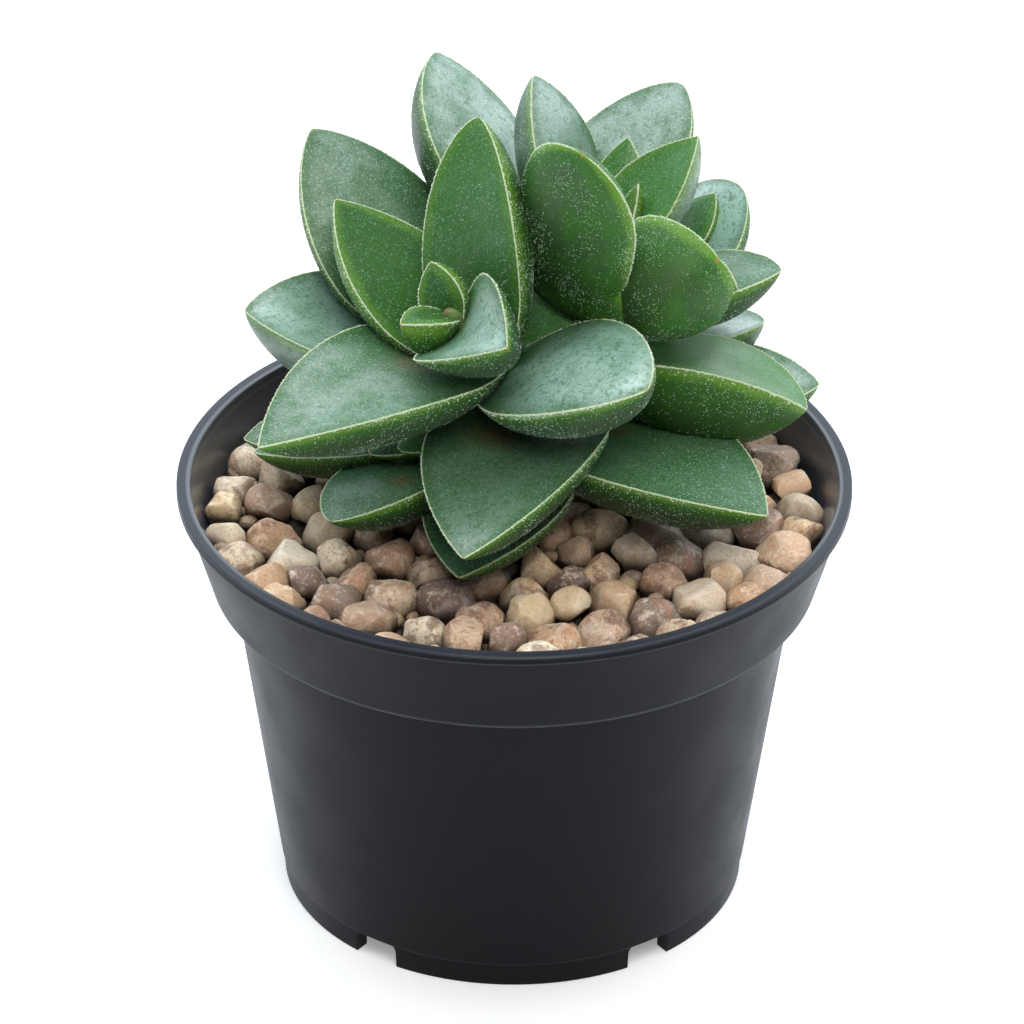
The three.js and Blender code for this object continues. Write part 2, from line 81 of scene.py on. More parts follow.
class CrassulaPot(bpy.types.PropertyGroup):
    """Sizes of the turned pot, beside its rim and height, which come from the frame."""
    lip_width: bpy.props.FloatProperty(
        name="Lip width", description="Width of the flat top of the rim", default=1.8 * MM, unit="LENGTH")
    lip_height: bpy.props.FloatProperty(
        name="Lip height", description="Height of the rim's outer edge", default=1.2 * MM, unit="LENGTH")
    lip_overhang: bpy.props.FloatProperty(
        name="Lip overhang", description="How far the lip stands out of the collar", default=0.7 * MM,
        unit="LENGTH")
    collar_z: bpy.props.FloatProperty(
        name="Collar bottom", description="Height of the collar's lower edge", default=46.9 * MM,
        unit="LENGTH")
    collar_radius: bpy.props.FloatProperty(
        name="Collar radius", description="Radius at the collar's lower edge", default=40.7 * MM,
        unit="LENGTH")
    body_top: bpy.props.FloatProperty(
        name="Body top radius", description="Radius of the body under the collar", default=37.8 * MM,
        unit="LENGTH")
    body_bottom: bpy.props.FloatProperty(
        name="Body bottom radius", description="Radius of the body above the foot", default=31.6 * MM,
        unit="LENGTH")
    wall: bpy.props.FloatProperty(
        name="Wall", description="Thickness of the wall", default=1.4 * MM, unit="LENGTH")
    floor: bpy.props.FloatProperty(
        name="Floor", description="Thickness of the floor", default=1.5 * MM, unit="LENGTH")
    foot_height: bpy.props.FloatProperty(
        name="Foot height", description="Height of the foot ring", default=3.5 * MM, unit="LENGTH")
    foot_radius: bpy.props.FloatProperty(
        name="Foot radius", description="Outer radius of the foot ring", default=31.1 * MM, unit="LENGTH")
    foot_width: bpy.props.FloatProperty(
        name="Foot width", description="Thickness of the foot ring", default=2.2 * MM, unit="LENGTH")
    notches: bpy.props.IntProperty(
        name="Notches", description="Notches in the foot ring, each with a drain hole behind it", default=5)
    notch_width: bpy.props.FloatProperty(
        name="Notch width", description="Width of a notch", default=6.6 * MM, unit="LENGTH")
    notch_corner: bpy.props.FloatProperty(
        name="Notch corner", description="Radius of a notch's upper corners", default=1.2 * MM, unit="LENGTH")
    drain_radius: bpy.props.FloatProperty(
        name="Drain hole radius", description="Radius of a drain hole", default=3.0 * MM, unit="LENGTH")
    drain_circle: bpy.props.FloatProperty(
        name="Drain circle", description="Radius of the circle of drain holes", default=21.0 * MM,
        unit="LENGTH")
    colour: bpy.props.FloatVectorProperty(
        name="Plastic", description="Colour of the plastic", default=(0.0022, 0.0026, 0.0040), size=3,
        subtype="COLOR", min=0, max=1)


class CrassulaFill(bpy.types.PropertyGroup):
    """Sizes and colours of the potting mix and the gravel."""
    mix_top: bpy.props.FloatProperty(
        name="Mix level", description="Mean height of the potting mix", default=51.0 * MM, unit="LENGTH")
    mix_colour: bpy.props.FloatVectorProperty(
        name="Mix", description="Colour of the potting mix", default=(0.022, 0.014, 0.009), size=3,
        subtype="COLOR", min=0, max=1)
    bed_z: bpy.props.FloatProperty(
        name="Bed level", description="Height of the gravel bed between the pebbles", default=54.4 * MM,
        unit="LENGTH")
    pebble_top: bpy.props.FloatProperty(
        name="Pebble level", description="Mean height of the pebbles' tops", default=57.0 * MM, unit="LENGTH")
    pebble_size: bpy.props.FloatProperty(
        name="Pebble size", description="Half length of the smallest top pebble", default=2.7 * MM,
        unit="LENGTH")
    pebble_range: bpy.props.FloatProperty(
        name="Pebble range", description="How much larger the largest top pebble is", default=1.3 * MM,
        unit="LENGTH")


class CrassulaPlant(bpy.types.PropertyGroup):
    """Fineness and colours of the leaves and stems."""
    rows: bpy.props.IntProperty(
        name="Rows", description="Rings of points from root to tip of a leaf", default=52, min=8)
    columns: bpy.props.IntProperty(
        name="Columns", description="Points round a leaf", default=48, min=8)
    papillae: bpy.props.FloatProperty(
        name="Papillae", description="How many papillae stand on a square millimetre", default=6.0, min=0)
    unevenness: bpy.props.FloatProperty(
        name="Unevenness", description="How far a leaf's faces wander", default=0.16 * MM, unit="LENGTH")
    green: bpy.props.FloatVectorProperty(
        name="Green", description="Colour of the bare skin", default=(0.034, 0.125, 0.010), size=3,
        subtype="COLOR", min=0, max=1)
    bloom: bpy.props.FloatVectorProperty(
        name="Bloom", description="Colour of the skin under its waxy bloom", default=(0.28, 0.47, 0.39),
        size=3, subtype="COLOR", min=0, max=1)
    fresh: bpy.props.FloatVectorProperty(
        name="Fresh green", description="Colour of the thin flesh beside a margin",
        default=(0.12, 0.26, 0.02), size=3, subtype="COLOR", min=0, max=1)
    margin: bpy.props.FloatVectorProperty(
        name="Margin", description="Colour of the hardened margin line", default=(0.66, 0.74, 0.52), size=3,
        subtype="COLOR", min=0, max=1)
    tip: bpy.props.FloatVectorProperty(
        name="Tip", description="Colour of the leaf's point", default=(0.46, 0.24, 0.06), size=3,
        subtype="COLOR", min=0, max=1)


class CrassulaStage(bpy.types.PropertyGroup):
    """The camera, taken from the photo, and the floor and light."""
    lens: bpy.props.FloatProperty(
        name="Lens", description="Focal length of the photo's view", default=281.25, unit="CAMERA")
    elevation: bpy.props.FloatProperty(
        name="Elevation", description="Angle of the view above level", default=math.radians(31.22),
        subtype="ANGLE")
    roll: bpy.props.FloatProperty(
        name="Roll", description="Turn of the camera about its view", default=0.005, subtype="ANGLE")
    distance: bpy.props.FloatProperty(
        name="Distance", description="From the camera to the point it looks at", default=1067.85 * MM,
        unit="LENGTH")
    aim_z: bpy.props.FloatProperty(
        name="Aim height", description="Height of the point looked at", default=55.17 * MM, unit="LENGTH")
    sideways: bpy.props.FloatProperty(
        name="Sideways", description="How far the camera stands left of the pot's axis", default=0.2937 * MM,
        unit="LENGTH")
    floor_size: bpy.props.FloatProperty(
        name="Floor", description="Width of the floor", default=6.0, unit="LENGTH")


class CrassulaSettings(bpy.types.PropertyGroup):
    """All settings of the potted crassula."""
    pot: bpy.props.PointerProperty(type=CrassulaPot)
    fill: bpy.props.PointerProperty(type=CrassulaFill)
    plant: bpy.props.PointerProperty(type=CrassulaPlant)
    stage: bpy.props.PointerProperty(type=CrassulaStage)


# How finely the pot and the mix are made, and how the mix lies, in millimetres
POT_COLUMNS = 288
POT_CREASE = 40
DRAIN_COLUMNS = 32
MIX_COLUMNS = 160
MIX_CLEAR = 0.3
CRUMB_HEIGHT = 0.35


# The plant's own shape

# Stems, each a curve of rings given as x, y, z and radius. They join in the crown.
STEMS = {
    "front": [(0, 2, 42, 4), (0, 2, 56, 4.4), (0, 0.5, 67, 4.2), (-3, -3, 78, 3.6), (-6, -6, 84.5, 2.8),
              (-8, -9.6, 90.5, 1.5), (-8.4, -10.2, 92, 0.7)],
    "right": [(7, 5, 42, 3.6), (8, 5, 56, 4.2), (11, 4.5, 70, 4), (12.5, 6.5, 80, 3.4), (13.5, 8.5, 87, 2.4),
              (14, 9.2, 91.5, 1.2), (14.1, 9.4, 92.6, 0.6)],
    "left": [(-3, 9, 42, 3.6), (-3, 9, 56, 4.2), (-5, 8.5, 68, 4.2), (-4.5, 9.5, 78, 3.8), (0.5, 14, 86.5, 3),
             (3.2, 16, 91, 1.5), (3.5, 16.4, 92.4, 0.7)],
    "rear": [(10, 11, 42, 3.4), (12, 12, 56, 4), (15.5, 14, 66, 3.8), (18, 17.5, 78, 3.2),
             (20.2, 18.2, 84.5, 2), (20.6, 18.4, 86, 0.9)],
    "crown": [(4, 6.5, 41, 5), (4, 6.5, 45, 9), (4, 6.5, 51, 7.5)],
}
STEM_COLUMNS = 28

# Leaves: where each leaves its shoot, its direction and sizes, in millimetres and degrees, as in the
# model's own source, and then how grey its bloom is: 0 on bare green skin, 1 on an old leaf, and more
# on a leaf that is paler still, where the paleness over 1 is painted sheen.
LEAF_FIELDS = (
    "name", "x", "y", "z", "azimuth", "rise", "roll", "length", "width", "thick",
    "bend", "cup", "blunt", "widest", "root", "dome", "bloom",
)
LEAF_ROWS = (
    ("front_leaf_01", -8, -9.5, 88.5, 122, 53, -60, 9.5, 7, 4.5, 6, 15, 0.87, 0.41, 0.45, 1, 0.1),
    ("front_leaf_02", -8, -10, 90.5, 209, 10, 7, 8, 7, 4.5, -4, 14, 0.93, 0.41, 0.45, 1, 0.0),
    ("front_leaf_03", -7.5, -9, 87.5, 293, 23, 40, 18, 14.5, 5.5, -16, 30, 0.85, 0.38, 0.45, 1.5, 1.8),
    ("front_leaf_04", -3, -4.5, 81, 100, 70, -47, 32.5, 16, 7, -12, 19, 0.65, 0.35, 0.47, 2, 0.25),
    ("front_leaf_05", -4.5, -5.5, 81, 139, 31, -2, 30, 18, 6, 9, 8, 0.9, 0.38, 0.46, 1, 0),
    ("front_leaf_06", -1.5, -3, 78, 309, 21, 19, 31.5, 20.5, 7, -6, 11, 0.68, 0.41, 0.5, 3.5, 2.4),
    ("front_leaf_07", -4.5, -3.5, 80.5, 221, 2, 0, 38, 22.5, 6.5, -18, 15, 0.98, 0.33, 0.48, 2, 0.65),
    ("front_leaf_08", 4.5, -0.5, 71, 252, -3, 6, 36, 24, 6, -15, 15, 0.88, 0.31, 0.45, 2, 0.85),
    ("front_leaf_09", 2, 1.5, 65, 252, -7, 6, 30, 20, 5.5, -8, 4, 0.92, 0.4, 0.45, 1, 0.7),
    ("front_leaf_10", 4, 2, 66, 322, 2, -4, 37, 24, 6.5, -14, 13, 0.95, 0.41, 0.45, 2.5, 0.5),
    ("front_leaf_11", -8, -1, 64.5, 229, 2, 12, 24.5, 16, 5.5, -19, 6, 0.67, 0.47, 0.75, 1, 0.5),
    ("front_leaf_12", 1, 0.5, 75, 55, 58, 0, 14, 13, 5, 0, 8, 0.8, 0.42, 0.5, 1, 0.3),
    ("front_leaf_13", -4, 0, 68, 203, 0, 0, 16.5, 5.5, 2.5, -6, 4, 0.55, 0.55, 0.7, 1, 0.5),
    ("front_leaf_14", -3.5, -0.5, 69, 210, 0, 0, 13.5, 6, 2.5, -6, 4, 0.55, 0.55, 0.7, 1, 0.4),
    ("right_leaf_01", 13.5, 9, 90, 46, 66, -16, 9.5, 4, 2, -7, 12, 0.9, 0.41, 0.45, 1, 0.2),
    ("right_leaf_02", 12.5, 9, 89, 30, 48, 3, 20, 12.5, 4.5, 4, 20, 1, 0.38, 0.45, 1, 0.28),
    ("right_leaf_03", 12, 13, 86, 71, 59, 0, 17, 9, 4, 0, 8, 0.93, 0.41, 0.45, 1, 0.35),
    ("right_leaf_04", 7, 4, 86, 279, 69, -47, 29, 18, 5.5, -18, -1, 0.47, 0.6, 0.8, 4.5, 0.1),
    ("right_leaf_05", 15.5, 8, 84.5, 316, 36, -70, 19, 17.5, 9.5, 5, 14, 0.62, 0.48, 0.44, 2, 0.1),
    ("right_leaf_08", 11.5, 0, 82.5, 278, 75, -25, 10, 7, 2, 10, 4, 0.7, 0.45, 0.7, 0.5, 0.25),
    ("right_leaf_06", 13, 7.5, 82, 349, 21, -2, 24, 16.5, 5.5, -13, 6, 0.72, 0.44, 0.45, 1, 0.5),
    ("right_leaf_07", 12.5, 4.5, 74, 347, -4, -18, 27, 22.5, 8, -18, 20, 0.73, 0.44, 0.45, 3.5, 0.3),
    ("left_leaf_01", 8, 14, 88.5, 122, 62, 33, 23, 17, 5, -7, 11, 0.82, 0.42, 0.45, 2, 1.2),
    ("left_leaf_02", 0.5, 15, 88, 117, 34, 24, 30, 18.5, 8, -1, 6, 0.76, 0.46, 0.45, 2, 1.1),
    ("left_leaf_03", -8.5, 7.5, 78, 137, 40, -9, 33.5, 21.5, 7, 4, 3, 0.78, 0.39, 0.35, 2, 0.55),
    ("left_leaf_04", 4, 13.5, 86.5, 42, 36, 2, 30, 19.5, 6, 6, 2, 0.65, 0.43, 0.45, 1, 1.1),
    ("left_leaf_05", -7.5, 8, 76, 188, 15, -7, 29.5, 21.5, 8, 4, 11, 0.81, 0.45, 0.45, 1, 1.9),
    ("left_leaf_06", -6, 8, 67, 201, -2, 4, 30.5, 17.5, 6, 1, 4, 0.9, 0.42, 0.45, 1, 0.6),
    ("left_leaf_07", -7, 13, 61.5, 193, 2, -6, 30, 17, 5, -4, 5, 0.88, 0.43, 0.45, 1, 0.6),
    ("left_leaf_08", -4, 11, 72, 140, 10, 0, 28, 19, 7, -8, 6, 0.8, 0.42, 0.45, 1, 0.8),
    ("left_leaf_09", 0, 14, 75, 95, 22, 0, 28, 18, 6.5, -6, 6, 0.8, 0.42, 0.45, 1, 0.8),
    ("left_leaf_10", -2, 13, 65, 118, 2, 0, 29, 19, 6.5, -8, 4, 0.85, 0.42, 0.45, 1, 0.7),
    ("left_leaf_11", 4, 14, 66, 75, 3, 0, 27, 18, 6.5, -8, 4, 0.85, 0.42, 0.45, 1, 0.7),
    ("left_leaf_12", 2, 15, 88, 180, 52, 0, 16, 11, 4.5, 8, 12, 0.85, 0.42, 0.45, 1, 0.2),
    ("left_leaf_13", 3, 15, 90, 265, 60, 0, 9, 6, 3, 6, 12, 0.85, 0.42, 0.45, 1, 0.1),
    ("rear_leaf_01", 20.5, 18, 83.5, 38, 45, -7, 11, 8.5, 3, -1, 8, 0.88, 0.44, 0.45, 1, 0.35),
    ("rear_leaf_02", 20, 18, 84, 150, 55, 0, 10, 7.5, 3.5, 6, 12, 0.85, 0.42, 0.45, 1, 0.2),
    ("rear_leaf_03", 17.5, 18.5, 79.5, 15, 44, 6, 18.5, 19.5, 4.5, 5, 2, 0.57, 0.43, 0.45, 1, 3.6),
    ("rear_leaf_04", 17, 20, 67, 5, 18, -12, 17.5, 15, 5, -10, 10, 0.6, 0.45, 0.45, 1, 1.15),
    ("rear_leaf_05", 15.5, 14, 66.5, 353, 5, 4, 25.5, 18.5, 6.5, 1, 7, 0.81, 0.43, 0.45, 1, 0.8),
    ("rear_leaf_06", 16, 17, 72, 66, 20, 0, 24, 17, 6, -6, 6, 0.75, 0.42, 0.45, 1, 0.8),
    ("rear_leaf_07", 16, 15, 65, 55, 2, 0, 23, 17, 6, -8, 4, 0.85, 0.42, 0.45, 1, 0.7),
)
TIP_CROWDING = 1.6
LAST_ROW = 0.9995
DOME_FLATNESS = 0.7
BELLY_AT_ROOT = 0.55
BELLY_FALL = 2.2
BELLY_BLUNT = 0.8

# Where a leaf's upper face has turned to cork: t, v and size in millimetres
SCARS = {
    "front_leaf_07": (0.28, 0.05, 2.6),
    "front_leaf_08": (0.30, 0.25, 3.4),
    "front_leaf_10": (0.30, -0.2, 1.1),
    "front_leaf_11": (0.55, -0.4, 1.6),
}
NO_SCAR = (0, 0, 0.01)

# How much of the bloom a lower face has, where it isn't the usual share
LOWER_WAX = {
    "left_leaf_01": 0.5, "left_leaf_02": 0.3, "left_leaf_05": 0.5, "rear_leaf_04": 0.4,
    "rear_leaf_05": 0.2, "right_leaf_02": 3.0, "right_leaf_04": 1.5, "right_leaf_05": 0.9,
    "right_leaf_06": 0.15,
}
USUAL_LOWER_WAX = 0.06

# How much a point's depth under the margin adds to its distance to the rim
RIM_SHARE_OF_DEPTH = 0.7

# Papillae: so many places are drawn for each square millimetre of a leaf's length by its width, and
# kept in waves, with more along the margins, on young leaves and on lower faces
CANDIDATES = 30
YOUNG_BLOOM = 0.3
WAVE_MEAN = 0.35
WAVE_SWING = 0.7
LEAST_CROWD = 0.08
MARGIN_CROWD = 0.9
MARGIN_SHARPNESS = 12
OLD_CROWD = 0.6
UPPER_CROWD_YOUNG = 0.25
UPPER_CROWD_OLD = 0.1

# Where papillae and the margin's beads stand between root and tip, and their sizes, in millimetres
PAPILLA_SPAN = (0.04, 0.985)
BEAD_SPAN = (0.05, 0.997)
BEAD_SPACING = 0.24
BEAD_SHAKE = 0.07
BEAD_DRIFT = 0.05
BEAD_SIDES = 4
PAPILLA_SIZES = ((0.032, 0.03), (1.3, 0.9), (1.0, 0.9))
BEAD_SIZES = ((0.09, 0.06), (0.9, 0.4), (0.9, 0.5))
PAPILLA, BEAD = 1, 2


# Meshes

def ring_faces(rows, columns):
    """Faces of a closed skin: quads between rings of points, and a fan to a centre point at each end.

    Point (i, j) of the grid has the index i * columns + j. The two centre points come last.
    """
    i, j = np.meshgrid(np.arange(rows - 1), np.arange(columns), indexing="ij")
    k = (j + 1) % columns
    quads = np.stack([i * columns + j, i * columns + k, (i + 1) * columns + k, (i + 1) * columns + j], -1)
    j = np.arange(columns)
    k = (j + 1) % columns
    first, last = rows * columns, rows * columns + 1
    top = (rows - 1) * columns
    fan = np.stack([np.full(columns, first), k, j], -1)
    end = np.stack([np.full(columns, last), top + j, top + k], -1)
    return quads.reshape(-1, 4), np.concatenate([fan, end])


def volume_of(points, triangles):
    """Signed volume: a sixth of the sum of each triangle's corners' triple product."""
    a, b, c = (points[triangles[:, n]] for n in range(3))
    return np.einsum("ij,ij->i", a, np.cross(b, c)).sum() / 6


def mesh_piece(name, points, faces, material, facts=None, sharp_angle=None):
    """A mesh object at the origin from points in millimetres, faces as index arrays and float facts."""
    mesh = bpy.data.meshes.new(name)
    lists = [row for block in faces for row in block.tolist()]
    mesh.from_pydata((points * MM).tolist(), [], lists)
    for fact, values in (facts or {}).items():
        mesh.attributes.new(fact, "FLOAT", "POINT").data.foreach_set("value", values.astype(np.float32))
    mesh.materials.append(material)
    mesh.shade_smooth()
    if sharp_angle:
        mesh.set_sharp_from_angle(angle=math.radians(sharp_angle))
    mesh.validate()
    mesh.update()
    piece = bpy.data.objects.new(name, mesh)
    bpy.context.scene.collection.objects.link(piece)
    return piece


def closed_skin(grid):
    """Points and outward faces of a closed skin from a grid of rings, rows x columns x 3."""
    rows, columns = grid.shape[:2]
    points = np.concatenate([grid.reshape(-1, 3), grid[:1].mean(1), grid[-1:].mean(1)])
    quads, fans = ring_faces(rows, columns)
    triangles = np.concatenate([quads[:, [0, 1, 2]], quads[:, [0, 2, 3]], fans])
    if volume_of(points - points.mean(0), triangles) < 0:
        quads, fans = quads[:, ::-1], fans[:, ::-1]
    return points, (quads, fans)


def rounded(profile, steps=5):
    """A profile of (radius, z, fillet) corners with each corner replaced by an arc of its fillet.

    The arc starts and ends fillet * tan(turn / 2) from the corner, and its points blend the two
    tangent points and the corner as a quadratic curve does.
    """
    corners = np.array([p[:2] for p in profile], float)
    points = [corners[:1]]
    for n in range(1, len(profile) - 1):
        before, here, after = corners[n - 1], corners[n], corners[n + 1]
        into = (before - here) / np.linalg.norm(before - here)
        out = (after - here) / np.linalg.norm(after - here)
        turn = math.pi - math.acos(np.clip(into @ out, -1, 1))
        cut = profile[n][2] * math.tan(turn / 2)
        if cut < 1e-4:
            points.append(corners[n:n + 1])
            continue
        s = np.linspace(0, 1, steps)[:, None]
        start, end = here + into * cut, here + out * cut
        points.append((1 - s) ** 2 * start + 2 * s * (1 - s) * here + s ** 2 * end)
    points.append(corners[-1:])
    return np.concatenate(points)


def turned(profile, columns):
    """Grid of rings: each profile point (radius, z) carried round the Z axis."""
    angle = np.arange(columns) * 2 * math.pi / columns
    radius, z = profile[:, :1], profile[:, 1:]
    return np.stack([radius * np.cos(angle), radius * np.sin(angle), z + 0 * angle], -1)


def cut_away(piece, cutters):
    """Cuts each cutter's closed shape out of the piece, and removes the cutters."""
    for cutter in cutters:
        cut = piece.modifiers.new("cut", "BOOLEAN")
        cut.operation = "DIFFERENCE"
        cut.solver = "EXACT"
        cut.object = cutter
    baked = bpy.data.meshes.new_from_object(piece.evaluated_get(bpy.context.evaluated_depsgraph_get()))
    piece.modifiers.clear()
    piece.data = baked
    for cutter in cutters:
        bpy.data.objects.remove(cutter, do_unlink=True)


# Shader maths

class Wire:
    """A socket of a node tree. Arithmetic on it adds Math nodes, and a number may stand on either side."""

    def __init__(self, nodes, socket):
        self.nodes = nodes
        self.socket = socket

    def maths(self, operation, *values):
        return self.nodes.add("ShaderNodeMath", {"operation": operation}, dict(enumerate(values)))

    def __add__(self, other):
        return self.maths("ADD", self, other)

    def __sub__(self, other):
        return self.maths("SUBTRACT", self, other)

    def __rsub__(self, other):
        return self.maths("SUBTRACT", other, self)

    def __mul__(self, other):
        return self.maths("MULTIPLY", self, other)

    def __pow__(self, other):
        return self.maths("POWER", self, other)

    __radd__ = __add__
    __rmul__ = __mul__

    def step(self, low, high, start=0.0, end=1.0):
        """A smooth step from start to end as this value goes from low to high."""
        settings = {"interpolation_type": "SMOOTHSTEP"}
        sockets = {"Value": self, "From Min": low, "From Max": high, "To Min": start, "To Max": end}
        return self.nodes.add("ShaderNodeMapRange", settings, sockets)


class Nodes:
    """A node tree and the ways to add to it. Every node comes from add."""

    def __init__(self, tree):
        self.tree = tree

    def set(self, node, sockets):
        """Links or sets each socket of a node, by its name or number."""
        for key, value in sockets.items():
            socket = node.inputs[key]
            if isinstance(value, Wire):
                self.tree.links.new(value.socket, socket)
            elif socket.type == "RGBA":
                socket.default_value = (*value, 1)
            else:
                socket.default_value = value

    def add(self, kind, settings, sockets, output=0):
        """Adds a node of a type with its settings and its sockets' values or links, and gives an output."""
        node = self.tree.nodes.new(kind)
        for key, value in settings.items():
            if key == "stops":
                self.fill_ramp(node.color_ramp, value)
            else:
                setattr(node, key, value)
        self.set(node, sockets)
        return None if output is None else Wire(self, node.outputs[output])

    def fill_ramp(self, ramp, stops):
        """Puts (place, colour) stops on a colour ramp that has its first two stops."""
        for n, (stop, colour) in enumerate(stops):
            element = ramp.elements[n] if n < 2 else ramp.elements.new(stop)
            element.position = stop
            element.color = (*colour, 1)

    def ramp(self, value, stops):
        """The colour of a ramp of (place, colour) stops at a value."""
        return self.add("ShaderNodeValToRGB", {"stops": stops}, {0: value})

    def mixed(self, share, a, b):
        """Colour a turning into colour b as share goes from 0 to 1."""
        return self.add("ShaderNodeMix", {"data_type": "RGBA"}, {0: share, 6: a, 7: b}, 2)


class Finish(Nodes):
    """A material and its nodes. Constants are set on the shader's own sockets."""

    def __init__(self, name, **constants):
        self.material = bpy.data.materials.new(name)
        self.material.use_nodes = True
        super().__init__(self.material.node_tree)
        self.shader = self.tree.nodes["Principled BSDF"]
        self.dress(**constants)
        self.place = self.add("ShaderNodeTexCoord", {}, {}, "Object")

    def dress(self, **sockets):
        """Sets or links the shader's sockets and gives the material."""
        self.set(self.shader, {key.replace("_", " "): value for key, value in sockets.items()})
        return self.material

    def fact(self, name):
        """A float attribute of the piece."""
        return self.add("ShaderNodeAttribute", {"attribute_name": name}, {}, "Fac")

    def shifted(self, shift):
        """The place on the piece, moved along the diagonal so that patterns differ."""
        return self.add("ShaderNodeVectorMath", {"operation": "ADD"}, {0: self.place, 1: (shift,) * 3})

    def noise(self, size, detail=3.0, roughness=0.55, shift=0.0, warp=0.0):
        """Noise whose features are about size millimetres across, drawn out into worms by a warp."""
        sockets = {"Vector": self.shifted(shift), "Scale": 1 / (size * MM), "Detail": detail,
                   "Roughness": roughness, "Distortion": warp}
        return self.add("ShaderNodeTexNoise", {}, sockets)

    def cells(self, size, output="Distance"):
        """Voronoi cells about size millimetres across: the distance to a cell's point, or its colour."""
        sockets = {"Vector": self.place, "Scale": 1 / (size * MM)}
        return self.add("ShaderNodeTexVoronoi", {}, sockets, output)

    def first(self, colour):
        """The first channel of a colour, as a number."""
        return self.add("ShaderNodeSeparateColor", {}, {0: colour})

    def split(self, vector, axis):
        """One axis of a vector, as a number."""
        return self.add("ShaderNodeSeparateXYZ", {}, {0: vector}, axis)

    def bump(self, height, depth, strength=1.0):
        """A normal from a height between 0 and 1 that stands for depth millimetres."""
        sockets = {"Height": height, "Distance": depth * MM, "Strength": strength}
        return self.add("ShaderNodeBump", {}, sockets)


# Colours that aren't settings, and the cone between the two faces of the collar's wall: its radius in
# millimetres at the floor, and its slope

INSIDE_RADIUS = 27.7
INSIDE_SLOPE = 0.265
PLASTIC_DUST = (0.10, 0.10, 0.11)
# Painted reflection on the lip's top and the collar's inner wall, and painted highlight under the lip and the
# collar
PLASTIC_LIP_PAINTED_REFLECTION = (0.030, 0.034, 0.046)
PLASTIC_INSIDE_PAINTED_REFLECTION = (0.055, 0.060, 0.072)
PLASTIC_EDGE_PAINTED_HIGHLIGHT = (0.06, 0.062, 0.07)
PERLITE = (0.45, 0.42, 0.36)
STONE_TINTS = (
    (0.0, (1.0, 0.72, 0.44)), (0.16, (1.0, 0.90, 0.71)), (0.30, (0.70, 0.43, 0.26)),
    (0.44, (1.0, 0.78, 0.48)), (0.58, (0.52, 0.31, 0.21)), (0.72, (1.0, 0.84, 0.62)),
    (0.86, (0.20, 0.135, 0.125)), (1.0, (1.0, 0.66, 0.43)),
)
STONE_STAIN = (0.25, 0.135, 0.09)
STONE_RUST = (0.56, 0.28, 0.17)
STONE_CREAM = (1.0, 0.86, 0.68)
STONE_BROWN = (0.42, 0.25, 0.165)
STONE_SPECK = (0.26, 0.15, 0.09)
STONE_CHALK = (1.0, 0.92, 0.80)
STONE_VEIN = (0.30, 0.15, 0.08)
# Painted shade on the stones' lower sides and on the lower layers
STONE_PAINTED_SHADE = (0.030, 0.019, 0.013)
BARK_GREEN = (0.12, 0.21, 0.06)
BARK_BROWN = (0.16, 0.095, 0.045)
SHADED_GREEN = (0.022, 0.085, 0.014)
# Painted shade under a leaf's belly
BELLY_PAINTED_SHADE = (0.020, 0.036, 0.014)
BELLY_PAINTED_SHADE_OLIVE = (0.030, 0.055, 0.014)
UPPER_GREEN = (0.014, 0.060, 0.012)
VIVID_GREEN = (0.060, 0.230, 0.014)
PIT_GREEN = (0.03, 0.13, 0.03)
FLECK = (0.34, 0.56, 0.46)
CORK = (0.17, 0.10, 0.045)
PALE_PAPILLA = (0.62, 0.78, 0.66)
PAPER_DARK = 0.86
PAPER_LIGHT = 0.88
ROOM_TINT = (0.84, 0.94, 1.04)


# Finishes

